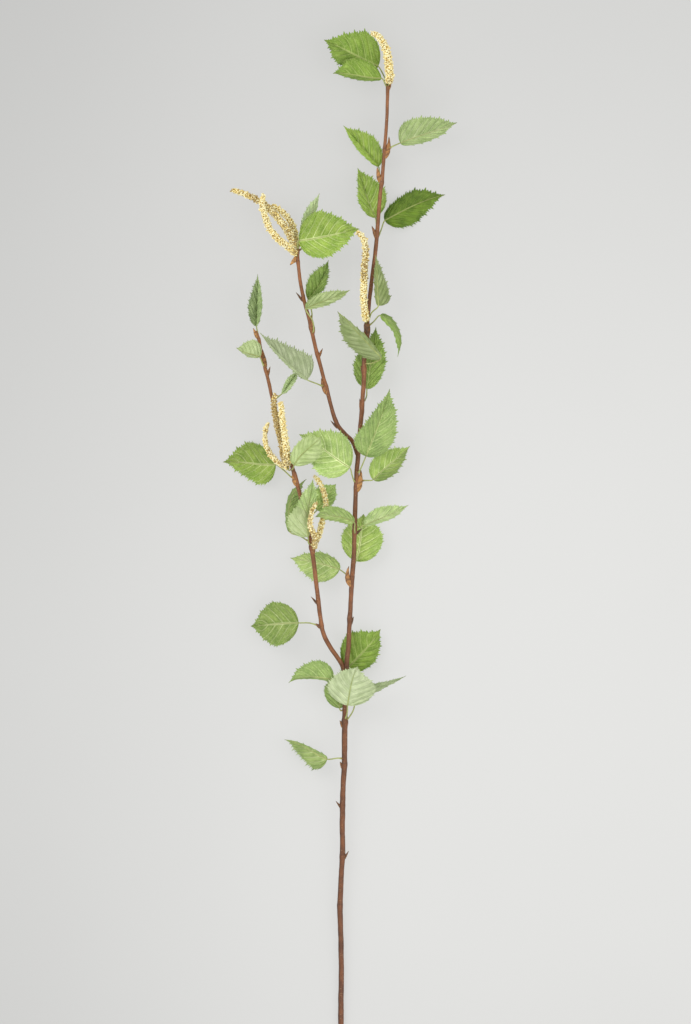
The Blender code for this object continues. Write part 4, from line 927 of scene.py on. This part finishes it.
# Wood
def stem_shape(piece, path, nodes, settings, fresh, seed, low=None):
    """Adds one tapering stem with swollen nodes, leaf scars and slightly uneven bark."""
    _, length = through(path, 10)
    run = np.linspace(0, length, max(40, int(length / settings.ring_step)))
    line, _ = through(path, run)
    swell, scar = np.ones(len(run)), np.zeros(len(run))
    for y, grow in nodes:
        place = float(np.interp(y, line[:, 1], run)) if line[-1, 1] > line[0, 1] else 0.0
        swell += (grow - 1) * 0.85 * np.exp(-(((run - place) / 2.7) ** 2))
        scar = np.maximum(scar, np.exp(-(((run - place - 1.4) / 0.55) ** 2)))
    sides = settings.sides
    angles = np.arange(sides) * 2 * math.pi / sides
    radius = line[:, 3] * swell * settings.girth
    rough = 0.05 * rolling(seed, run, 9.0)[:, None] + 0.045 * rolling(seed + 1, run, 3.1)[:, None] * np.cos(
        angles + 2.0 * rolling(seed + 2, run, 22.0)[:, None])
    relief = radius[:, None] * rough + 0.06 * scar[:, None] - 0.03 * np.roll(scar, 1)[:, None]
    centre = line[:, :3].copy()
    centre[:, 0] += 0.22 * rolling(seed + 3, run, 14.0)
    points, faces, place, angle = tube(centre, radius, sides, relief=relief)
    if low is not None:
        points[:, 2] = np.maximum(points[:, 2], low)
    wide = np.repeat(radius, sides)
    around = np.stack([np.cos(angle) * wide, np.sin(angle) * wide, place + 40 * seed], 1)
    share = np.repeat(np.interp(run, (0, length), fresh), sides)
    shade = 1.0 + 0.1 * np.repeat(rolling(seed + 4, run, 30.0), sides)
    piece.add(points, faces, 0, round=around, fresh=share, scar=np.repeat(scar, sides), shade=shade)


def bud_shape(piece, base, tip, half_width, half_thick, lean, ripe, seed):
    """Adds one pointed bud of overlapping scales, or a small dry scale, its foot inside the stem."""
    base, tip = np.array(base, float), np.array(tip, float)
    along = unit(tip - base)
    side = unit(np.cross([0, 0, 1.0], along))
    up = np.cross(along, side)
    t = np.concatenate([np.linspace(0, 0.9, 19), (0.94, 0.97, 0.99, 1.0)])
    size = np.interp(t, (0, 0.12, 0.3, 0.62, 0.88, 0.96, 1.0), (0.5, 0.82, 1.0, 0.84, 0.4, 0.2, 0.03))
    angles = np.arange(BUD_SIDES) * 2 * math.pi / BUD_SIDES
    rims = 0.0
    for number, start in enumerate((0.24, 0.46, 0.66)):
        edge = start + 0.10 * np.cos(angles * (1 if number else 2) + number * 2.1 + seed)
        rims = rims + 0.085 * eased((edge[None] - t[:, None]) / 0.05 + 0.5)
    swell = size[:, None] * (0.86 + rims)
    centre = base + (tip - base) * t[:, None] + side * (lean * 4 * t * (1 - t))[:, None]
    rings = centre[:, None] + swell[..., None] * (half_width * np.cos(angles)[:, None] * side
                                                  + half_thick * np.sin(angles)[:, None] * up)
    faces = ring_faces(len(t), BUD_SIDES).tolist()
    faces.append([(len(t) - 1) * BUD_SIDES + k for k in range(BUD_SIDES)])
    length = np.linalg.norm(tip - base)
    wide = np.tile(np.cos(angles), len(t)) * half_width
    thick = np.tile(np.sin(angles), len(t)) * half_thick
    around = np.stack([wide, thick, np.repeat(t * length, BUD_SIDES) + 13 * seed], 1)
    groove = np.abs(np.gradient(rims, axis=0)).ravel()
    # The scar value darkens the bud towards its tip and along the grooves between its scales
    scar = np.maximum(np.repeat(eased((t - 0.72) / 0.28), BUD_SIDES), eased(groove / 0.03) * 0.8)
    piece.add(rings.reshape(-1, 3), faces, 1, round=around, ripe=ripe, scar=scar, shade=1.0)


# Leaves
def midrib(spec, t):
    """Points, directions, lefts and ups on the midrib at shares t of its length."""
    base, tip = np.array(spec["base"]), np.array(spec["tip"])
    sweep, arch = spec.get("sweep", (0, 0)), spec.get("arch", (0, 0))
    side = unit(np.cross([0, 0, 1.0], tip - base))
    c1 = base + (tip - base) / 3 + side * sweep[0] + np.array([0, 0, arch[0]])
    c2 = base + (tip - base) * 2 / 3 + side * sweep[1] + np.array([0, 0, arch[1]])
    t = np.asarray(t, float)[:, None]
    s = 1 - t
    points = s**3 * base + 3 * s * s * t * c1 + 3 * s * t * t * c2 + t**3 * tip
    ahead = unit(3 * s * s * (c1 - base) + 6 * s * t * (c2 - c1) + 3 * t * t * (tip - c2))
    left = unit(np.cross([0, 0, 1.0], ahead))
    return points, ahead, left, np.cross(ahead, left)


def width_at(t, wide, blunt):
    """Half width of a blade from 0 at its base to 0 at its tip, 1 at the widest place."""
    rising = np.sqrt(np.clip(1 - (1 - np.minimum(t, wide) / wide) ** 2, 0, 1))
    falling = 1 - (np.clip(t - wide, 0, 1) / (1 - wide)) ** blunt
    falling = falling * (1 - 0.5 * eased((t - 0.72) / 0.24))
    return np.where(t < wide, rising, falling)


def vein_crowding(length):
    """How many more side veins a long blade carries, in millimetres of its length."""
    return np.clip(length / 42, 1.0, 1.35)


def veins_passed(course, across, length):
    """Side veins between the base and each place of a blade, which lean forward towards the margin."""
    return (course[:, None] - VEIN_LEAN * np.abs(across)[None] ** 1.1 - 1) * vein_crowding(length)


def saw(course, each):
    """Teeth that point forward: a slow rise and a quick fall from 0 to 1 and back, one each stretch."""
    phase = (course / each + 0.75) % 1
    return np.where(phase <= 0.75, phase / 0.75, (1 - phase) / 0.25)


def half_blade(spec, number, course, root, meet, across, settings, seed):
    """The middle surface of one half of a blade as a grid of course rows and across columns."""
    which = ("left", "right")[number]
    flip = 1 - 2 * number
    wide, high = spec[which]
    turn, start, end = spec.get("turn_" + which, (0, 0, 1))

    def face(t):
        angle = math.atan2(high, wide) + math.radians(turn) * eased((t - start) / (end - start))
        return flip * np.cos(angle)[:, None], np.sin(angle)[:, None]

    length = np.linalg.norm(np.array(spec["tip"]) - np.array(spec["base"]))
    foot, foot_ahead, foot_left, foot_up = midrib(spec, root)
    rim, rim_ahead, rim_left, rim_up = midrib(spec, meet)
    x, y = face(meet)
    out = x * rim_left + y * rim_up
    normal = flip * (x * rim_up - y * rim_left)
    x, y = face(root)
    foot_normal = flip * (x * foot_up - y * foot_left)
    shape = width_at(meet, spec["wide"][number], spec["blunt"][number])
    reach = shape * math.hypot(wide, high)
    size = np.clip(reach / 6, 0, 1)
    big = np.abs((course - 1) % 2 - 1)
    tooth_size, small = (saw(course, each) for each in (1.0, 0.5))
    wild = rolling(seed + 11 * number, course, 0.9)
    scale = np.clip(length / 44, 0.6, 1.2)
    big_out = settings.lobe * ((TOOTH_OUT + NOTCH_IN) * big - NOTCH_IN) * scale
    cut = settings.tooth * TOOTHED.get(spec["name"][-2:], 1.0)
    small_out = cut * (0.85 * (tooth_size - 0.4) * (1 + 0.4 * wild) + (small - 0.4)) * scale
    room = np.clip(reach / 3.5, 0, 1)
    plain = np.maximum(reach, 0.12 + 0.5 * (1 - eased(meet / 0.03)))
    back = -HEART * length * shape * (1 - meet) ** 4
    rim = rim + out * plain[:, None] + rim_ahead * back[:, None]
    lift = (TOOTH_LIFT * (1.6 * big - 0.6) + 0.5 * (tooth_size - 0.5) * wild) * size
    tooth = out * ((big_out + small_out) * room)[:, None] + normal * lift[:, None]
    forward = (0.5 * TOOTH_FORWARD * big + 1.1 * tooth_size + 0.4 * small) * size * scale
    tooth += rim_ahead * forward[:, None]
    u = across[None, :, None]
    grid = foot[:, None] * (1 - u) + rim[:, None] * u + tooth[:, None] * u**7
    pleat = np.sin(math.pi * veins_passed(course, across, length) / 2) ** 2
    band = eased(across / 0.2) * (1 - 0.5 * eased((across - 0.75) / 0.25))
    wave = rolling(seed + 3 + number, course, 3.7)[:, None] * across[None] ** 2 * settings.wave
    height = settings.pleat * pleat * band[None] * size[:, None]
    height = height + (settings.camber * np.sin(math.pi * across)[None] + wave) * size[:, None]
    blend = unit(foot_normal[:, None] * (1 - u) + normal[:, None] * u)
    return grid + blend * height[..., None]


def stalk_line(spec, bark):
    """Centre of the stalk from inside the bark to the base of the blade."""
    stalk = [np.array(p, float) for p in STRAIGHTER.get(spec["name"], spec["stalk"])]
    hit, normal = seat(bark, stalk[0], stalk[1])
    base, ahead, _, _ = midrib(spec, [0.0])
    ends = [hit - normal * 0.9, hit + normal * 0.5]
    entry = unit(0.5 * ahead[0] + unit(base[0] - stalk[-1]))
    rough, _ = through(ends + stalk[1:] + [base[0] - entry * 2.0, base[0]], 200)
    reach = 16
    padded = np.vstack([np.repeat(rough[:1], reach, 0), rough, np.repeat(rough[-1:], reach, 0)])
    weights = np.hanning(2 * reach + 3)[1:-1]
    smooth = np.stack([np.convolve(padded[:, k], weights / weights.sum(), "valid") for k in range(3)], 1)
    line, _ = through(smooth[::4], 34)
    line[0], line[-1] = rough[0], rough[-1]
    return line


def leaf_piece(spec, bark, materials, settings, number):
    name = spec["name"]
    piece = Piece(name + "_leaf", ("foot", "shade", "vivid"), ("blade", "round"))
    per_row = settings.rows_each
    rows = (VEIN_ROWS + len(FAN_ROWS)) * per_row + 1
    course = np.linspace(0, VEIN_ROWS + len(FAN_ROWS), rows)
    root = np.clip((course - len(FAN_ROWS)) / VEIN_ROWS, 0, 1)
    known = np.arange(len(FAN_ROWS) + 2)
    meet = np.where(course < len(FAN_ROWS), np.interp(course, known[:4], (*FAN_ROWS, VEIN_LEAD)),
                    VEIN_LEAD + (1 - VEIN_LEAD) * root)
    across = np.linspace(0, 1, settings.columns) ** 0.9
    left = half_blade(spec, 0, course, root, meet, across, settings, number * 31)
    right = half_blade(spec, 1, course, root, meet, across, settings, number * 31)
    middle = np.concatenate([left[:, ::-1], right[:, 1:]], 1)
    signed = np.concatenate([across[::-1], -across[1:]])
    if spec.get("rest"):
        middle[..., 2] = np.maximum(middle[..., 2], settings.sheet * 0.5 + 0.02)
    down = np.gradient(middle, axis=0)
    over = np.gradient(middle, axis=1)
    normal = unit(np.cross(down, -over))
    centre = settings.columns - 1
    normal[:, centre] = unit(normal[:, centre - 1] + normal[:, centre + 1])
    normal[0] = normal[1]
    half = settings.sheet / 2 * (1 - 0.55 * np.abs(signed) ** 6)[None, :, None]
    top, under = middle + normal * half, middle - normal * half
    if spec.get("rest"):
        under[..., 2] = np.maximum(under[..., 2], 0.01)
    columns = middle.shape[1]
    sheet = ring_faces(rows, columns, closed=False)
    size = rows * columns
    points = np.concatenate([top.reshape(-1, 3), under.reshape(-1, 3)])
    faces = [*sheet.tolist(), *(sheet[:, ::-1] + size).tolist()]
    slots = [0] * len(sheet) + [1] * len(sheet)
    rim = [*range(0, size, columns)]
    rim += [*range(size - columns + 1, size)]
    rim += [*range(size - columns - 1, 0, -columns)]
    rim += [*range(columns - 2, 0, -1)]
    for a, b in zip(rim, rim[1:] + rim[:1]):
        faces.append([b, a, a + size, b + size])
        slots.append(0)
    if spec.get("under"):
        turned = TURNED_AT.get(name[-2:], math.inf)
        along = [course[face[0] % size // columns] for face in faces]
        slots = [slot if row >= turned else 1 - slot for row, slot in zip(along, slots)]
    right_light, left_light, green, *tone = LEAF_LOOKS[name[-2:]].split()
    right_light, left_light, vivid = LIGHTS[right_light], LIGHTS[left_light], GREENS[green]
    tone = tone[0] if tone else spec["tone"]
    # Painted light and shade: each half of the blade is made lighter or darker in its colour
    shade = right_light + (left_light - right_light) * eased(signed / 0.24 + 0.5)
    shade = np.tile(np.tile(shade, rows), 2)
    length = np.linalg.norm(np.array(spec["tip"]) - np.array(spec["base"]))
    veins = 1 + veins_passed(course, signed, length).ravel()
    drawn = np.stack([veins, np.tile(signed, rows), np.repeat(course, columns)], 1)
    piece.add(points, faces, slots, blade=np.concatenate([drawn, drawn]), shade=shade, vivid=vivid)
    line = stalk_line(spec, bark)
    t = np.linspace(0, 0.985, 46)
    first = per_row * len(FAN_ROWS)

    def on_midrib(grid):
        return np.stack([np.interp(t, root[first:], grid[first:, centre, k]) for k in range(3)], 1)

    sunk = settings.rib_sunk * (1 if spec.get("under") else 0.5) * eased(t / 0.1 + 0.3)
    rib = on_midrib(middle) + unit(on_midrib(normal)) * sunk[:, None]
    if spec.get("rest"):
        rib[:, 2] = np.maximum(rib[:, 2], 0.5)
    whole = np.concatenate([line[:-1], rib])
    reach = np.concatenate([[0], np.cumsum(np.linalg.norm(np.diff(whole, axis=0), axis=1))])
    joint = reach[len(line) - 1]
    radius = np.interp(reach, (0, 1.5, 4.0, joint - 2, joint, joint + (reach[-1] - joint) * 0.3, reach[-1]),
                       (0.98, 0.9, 0.64, 0.58, 0.55, 0.42, 0.10))
    points, faces, place, angle = tube(whole, radius, STALK_SIDES)
    wide = np.repeat(radius, STALK_SIDES)
    around = np.stack([np.cos(angle) * wide, np.sin(angle) * wide, place + 17 * number], 1)
    piece.add(points, faces, 2, round=around, foot=1 - eased((place - 1.0) / 2.5))
    uppers, underside, stalk = materials
    return piece.finish((uppers[tone], underside, stalk), name, 75.0)


# Catkins
def catkin_piece(spec, bark, material, stalk, settings, number):
    """A core with florets set on it in a spiral, each leaning towards the tip."""
    name, path, radius = spec
    rng = np.random.default_rng(500 + number)
    path = [np.array(p, float) for p in path]
    hit, normal = seat(bark, path[0], path[1])
    line, length = through([hit - normal * 0.9, hit + normal * 0.3, hit + normal * 1.8] + path[1:], 160)
    run = np.linspace(0, length, 160)
    start = 4.5
    share = np.clip((run - start) / (length - start), 0, 1)
    full = radius * (1 - 0.28 * share**2) * eased((run - start * 0.6) / 4.5 + 0.15)
    full *= np.sqrt(np.clip((length + 0.6 - run) / 3.0, 0, 1))
    piece = Piece(name + "_florets", ("foot",), ("floret", "round"))
    core = np.maximum(full - settings.floret * 0.55, 0.6)
    core[-1] = 0.3
    points, faces, place, angle = tube(line, core, CORE_SIDES)
    bare = place < start + 1.0
    slots = [1 if bare[face[0]] else 0 for face in faces]
    around = np.stack([np.cos(angle), np.sin(angle), place], 1)
    near_wood = 1 - eased((place - 1.0) / 3.0)
    # The core takes the painted shade of a floret's foot
    piece.add(points, faces, slots, round=around, floret=(0.1, 0.3, 0.2), foot=near_wood)
    ahead, side, up = carried(line, np.array([0.3, 0.2, 1.0]))
    at, turn = [], 0.0
    s = start
    while s < length - 0.3:
        here = float(np.interp(s, run, full))
        s += 0.40 * settings.floret**2 / (2 * math.pi * max(here, 0.9))
        turn += GOLDEN_TURN
        at.append((s, turn))
    at = np.array(at)
    at[:, 0] += rng.uniform(-0.25, 0.25, len(at))
    at[:, 1] += rng.uniform(-0.25, 0.25, len(at))
    spot = np.clip(at[:, 0], 0, length)

    def along(values):
        return np.stack([np.interp(spot, run, values[:, k]) for k in range(3)], 1)

    centre, forward = along(line), unit(along(ahead))
    across, rise = unit(along(side)), unit(along(up))
    outward = np.cos(at[:, 1])[:, None] * across + np.sin(at[:, 1])[:, None] * rise
    level = np.interp(spot, run, full)
    end = eased((spot - (length - 4.0)) / 4.0)
    lean = (rng.uniform(-0.15, 0.75, len(at)) + 0.5 * end)[:, None]
    outward = unit(outward + rng.uniform(-0.3, 0.3, (len(at), 3)))
    pointing = unit(outward + lean * forward)
    beside = unit(np.cross(forward, outward))
    ahead_of = np.cross(pointing, beside)
    size = settings.floret * rng.uniform(0.66, 1.12, len(at)) * np.clip(level / radius + 0.25, 0.55, 1.0)
    proud = rng.uniform(0.75, 1.3, len(at)) + (rng.random(len(at)) > 0.84) * rng.uniform(0.3, 0.95, len(at))
    levels = ((0.0, 0.30), (0.34, 0.46), (0.68, 0.50), (0.92, 0.28))
    angles = np.arange(FLORET_SIDES) * math.pi / 3
    foot = centre + outward * np.maximum(level - settings.floret * 0.62, 0.2)[:, None]
    tall = settings.floret * 0.78 * proud
    rim = np.cos(angles)[None, :, None] * beside[:, None]
    rim = rim + 0.85 * np.sin(angles)[None, :, None] * ahead_of[:, None]
    rings = []
    for t, wide in levels:
        middle = foot + pointing * (tall * t)[:, None]
        rings.append(middle[:, None] + (size * wide)[:, None, None] * rim)
    tips = (foot + pointing * tall[:, None] + outward * 0.05)[:, None]
    points = np.concatenate([*rings, tips], 1)
    per = points.shape[1]
    shape = ring_faces(len(levels), FLORET_SIDES).tolist()
    last = (len(levels) - 1) * FLORET_SIDES
    shape += [[last + k, last + (k + 1) % FLORET_SIDES, per - 1] for k in range(FLORET_SIDES)]
    faces = [[i + per * n for i in face] for n in range(len(at)) for face in shape]
    crown = np.concatenate([np.repeat([t for t, _ in levels], FLORET_SIDES), [1.0]])
    chance = rng.random(len(at))
    even, low, high, dark = CATKIN_RIPENESS[number]
    share = np.clip((spot - start) / (length - start), 0, 1)
    likely = even + dark * eased((share - low) / 0.08 + 0.5) * eased((high - share) / 0.08 + 0.5)
    draw = rng.random(len(at))
    ripe = np.where(draw < likely, rng.uniform(0.45, 1, len(at)), rng.uniform(0, 0.2, len(at)))
    floret = np.stack([np.tile(crown, len(at)), np.repeat(chance, per), np.repeat(ripe, per)], 1)
    piece.add(points.reshape(-1, 3), faces, 0, floret=floret)
    return piece.finish((material, stalk), name, 80.0)


# Settings
def length_setting(name, value, description):
    return bpy.props.FloatProperty(name=name, description=description, default=value, min=0.0, unit="NONE")


def colour_setting(name, rgb, description):
    return bpy.props.FloatVectorProperty(
        name=name, description=description, subtype="COLOR", size=3, min=0.0, max=1.0, default=linear(rgb))


class BirchWoodSettings(bpy.types.PropertyGroup):
    ring_step: length_setting("Ring step", 1.5, "Distance between the rings of a stem, in millimetres")
    girth: length_setting("Girth", 0.97, "Thickness of the bark as a share of the solid's corners")
    sides: bpy.props.IntProperty(name="Sides", description="Corners round a stem", default=20, min=8)
    bark_old: colour_setting("Old bark", BARK[0], "Bark near the cut end")
    bark_young: colour_setting("Young bark", BARK[1], "Bark near the tips")


class BirchLeafSettings(bpy.types.PropertyGroup):
    sheet: length_setting("Blade thickness", 0.34, "Thickness of a leaf blade, in millimetres")
    tooth: length_setting("Teeth", 1.4, "Depth of the small teeth of the margin, in millimetres")
    pleat: length_setting("Pleats", 0.8, "Rise of the blade between two side veins, in millimetres")
    camber: length_setting("Camber", 0.5, "Rise of each half of the blade, in millimetres")
    wave: length_setting("Wave", 0.9, "Waviness of the margin, in millimetres")
    lobe: bpy.props.FloatProperty(
        name="Lobes", description="Depth of the large teeth as a share of the solid's", default=0.5,
        subtype="FACTOR")
    rib_sunk: length_setting(
        "Midrib offset", 0.2, "How far the midrib stands to the underside, in millimetres")
    rows_each: bpy.props.IntProperty(
        name="Rows", description="Mesh rows between two vein rows", default=8, min=2)
    columns: bpy.props.IntProperty(
        name="Columns", description="Mesh columns in each half", default=15, min=4)


class BirchCatkinSettings(bpy.types.PropertyGroup):
    floret: length_setting("Floret size", 1.9, "Width of one floret, in millimetres")
    # Cream is partly a painted highlight on the floret tips, and deep is painted shade where they close up
    cream: colour_setting("Cream", CATKIN_COLOURS[0], "Tips of the florets")
    gold: colour_setting("Gold", CATKIN_COLOURS[1], "Sides of the florets")
    deep: colour_setting("Deep", CATKIN_COLOURS[2], "Where the florets close up")


class BirchStageSettings(bpy.types.PropertyGroup):
    floor_colour: colour_setting("Floor", FLOOR_GREY, "Colour of the studio floor")
    # The floor glow is painted light: the floor gives off light of its own though it is no lamp
    floor_glow: bpy.props.FloatProperty(
        name="Floor glow", description="Share of the floor's light that comes through it", default=0.75,
        subtype="FACTOR")
    camera_away: bpy.props.FloatProperty(
        name="Camera distance", description="Distance of the camera from the branch", default=6.0,
        unit="LENGTH")
    key_power: bpy.props.FloatProperty(
        name="Key light", description="Power of the large soft light", default=40.0, unit="POWER")
    fill_power: bpy.props.FloatProperty(
        name="Fill light", description="Power of the soft lights opposite", default=17.0, unit="POWER")
    sky: bpy.props.FloatProperty(
        name="Sky", description="Strength of the even light from all sides", default=0.8, subtype="FACTOR")


# Operators
class BIRCH_OT_wood(bpy.types.Operator):
    """Build the main stem with its two side twigs, nodes and buds"""

    bl_idname = "birch.wood"
    bl_label = "Wood"

    def execute(self, context):
        settings = context.scene.birch_wood
        piece = Piece("branch_bark", ("fresh", "scar", "shade", "ripe"), ("round",))
        stem_shape(piece, MAIN_STEM, MAIN_NODES, settings, (0.0, 0.75), 1, low=0.0)
        stem_shape(piece, LEFT_TWIG, LEFT_NODES, settings, (0.45, 1.0), 11)
        stem_shape(piece, MIDDLE_TWIG, MIDDLE_NODES, settings, (0.4, 0.85), 21)
        for number, (shape, ripe) in enumerate(zip(BUDS, BUD_RIPENESS)):
            base, tip, half_width, *rest = shape
            bud_shape(piece, base, tip, half_width * BRACTS.get(number, 1.0), *rest, ripe, number)
        piece.finish((bark_material(settings), bud_material()), "branch_wood", 55.0)
        return {"FINISHED"}


class BIRCH_OT_leaves(bpy.types.Operator):
    """Build the leaves, each with its stalk, midrib, side veins and toothed margin"""

    bl_idname = "birch.leaves"
    bl_label = "Leaves"

    def execute(self, context):
        settings = context.scene.birch_leaves
        bark = bark_surface()
        uppers = {
            tone: blade_material("leaf_" + tone, colours, VEINS[tone], VEINS_SHOW[tone], -1.0, 0.42, 0.19)
            for tone, colours in LEAF_TONES.items()
        }
        underside = blade_material("leaf_underside", UNDERSIDE, UNDER_VEIN, 0.6, 1.0, 0.55, 0.22)
        stalk = stalk_material()
        for number, spec in enumerate(LEAVES):
            leaf_piece(spec, bark, (uppers, underside, stalk), settings, number)
        return {"FINISHED"}


class BIRCH_OT_catkins(bpy.types.Operator):
    """Build the catkins floret by floret"""

    bl_idname = "birch.catkins"
    bl_label = "Catkins"

    def execute(self, context):
        settings = context.scene.birch_catkins
        bark = bark_surface()
        material = catkin_material(settings)
        stalk = bpy.data.materials.get("stalk_green") or stalk_material()
        for number, spec in enumerate(CATKINS):
            catkin_piece(spec, bark, material, stalk, settings, number)
        return {"FINISHED"}


class BIRCH_OT_stage(bpy.types.Operator):
    """Lay the floor, hang the soft lights and set the camera above the branch"""

    bl_idname = "birch.stage"
    bl_label = "Stage"

    def execute(self, context):
        settings = context.scene.birch_stage
        scene = context.scene
        mesh = bpy.data.meshes.new("studio_floor")
        corners = [(x * FLOOR_HALF, y * FLOOR_HALF, 0) for x, y in ((-1, -1), (1, -1), (1, 1), (-1, 1))]
        mesh.from_pydata(corners, [], [(0, 1, 2, 3)])
        mesh.materials.append(floor_material(settings))
        floor = bpy.data.objects.new("studio_floor", mesh)
        scene.collection.objects.link(floor)
        for name, place, power in (
            ("key_light", (-1.7, 1.5, 2.4), settings.key_power),
            ("fill_light", (2.0, -0.4, 2.4), settings.fill_power),
            ("low_light", (-0.6, -2.4, 2.4), settings.fill_power),
        ):
            lamp = bpy.data.lights.new(name, "AREA")
            lamp.size = LAMP_SIZE
            lamp.energy = power
            light = bpy.data.objects.new(name, lamp)
            light.location = place
            aim = Vector((0, 0, 0)) - Vector(place)
            light.rotation_euler = aim.to_track_quat("-Z", "Y").to_euler()
            scene.collection.objects.link(light)
        world = scene.world or bpy.data.worlds.new("studio")
        scene.world = world
        world.use_nodes = True
        back = world.node_tree.nodes["Background"]
        back.inputs["Color"].default_value = (1.0, 1.0, 1.0, 1.0)
        back.inputs["Strength"].default_value = settings.sky
        lens = bpy.data.cameras.new("camera")
        lens.sensor_fit = "VERTICAL"
        lens.sensor_height = 24.0
        lens.lens = lens.sensor_height * settings.camera_away / (PICTURE_TALL * MM)
        lens.clip_end = 100.0
        camera = bpy.data.objects.new("camera", lens)
        x, y = PICTURE_MIDDLE
        camera.location = (x * MM, y * MM, BRANCH_LEVEL * MM + settings.camera_away)
        scene.collection.objects.link(camera)
        scene.camera = camera
        scene.view_settings.view_transform = "Standard"
        return {"FINISHED"}


class BIRCH_PT_sidebar(bpy.types.Panel):
    """Lists the steps and their settings in the 3D view's sidebar"""

    bl_idname = "BIRCH_PT_sidebar"
    bl_label = "Birch branch"
    bl_space_type = "VIEW_3D"
    bl_region_type = "UI"
    bl_category = "Birch"

    def draw(self, context):
        for operator, settings in (
            ("birch.wood", context.scene.birch_wood),
            ("birch.leaves", context.scene.birch_leaves),
            ("birch.catkins", context.scene.birch_catkins),
            ("birch.stage", context.scene.birch_stage),
        ):
            box = self.layout.box()
            box.operator(operator)
            for key in settings.__annotations__:
                box.prop(settings, key)


SETTINGS = (
    ("birch_wood", BirchWoodSettings),
    ("birch_leaves", BirchLeafSettings),
    ("birch_catkins", BirchCatkinSettings),
    ("birch_stage", BirchStageSettings),
)
OPERATORS = (BIRCH_OT_wood, BIRCH_OT_leaves, BIRCH_OT_catkins, BIRCH_OT_stage)


def register():
    for key, group in SETTINGS:
        bpy.utils.register_class(group)
        setattr(bpy.types.Scene, key, bpy.props.PointerProperty(type=group))
    for operator in OPERATORS:
        bpy.utils.register_class(operator)
    bpy.utils.register_class(BIRCH_PT_sidebar)


def unregister():
    bpy.utils.unregister_class(BIRCH_PT_sidebar)
    for operator in reversed(OPERATORS):
        bpy.utils.unregister_class(operator)
    for key, group in reversed(SETTINGS):
        delattr(bpy.types.Scene, key)
        bpy.utils.unregister_class(group)


def plain(box):
    return [[float(value) for value in corner] for corner in box]


def main():
    register()
    bpy.ops.birch.wood()
    bpy.ops.birch.leaves()
    bpy.ops.birch.catkins()
    bpy.ops.birch.stage()


if __name__ == "__main__":
    main()
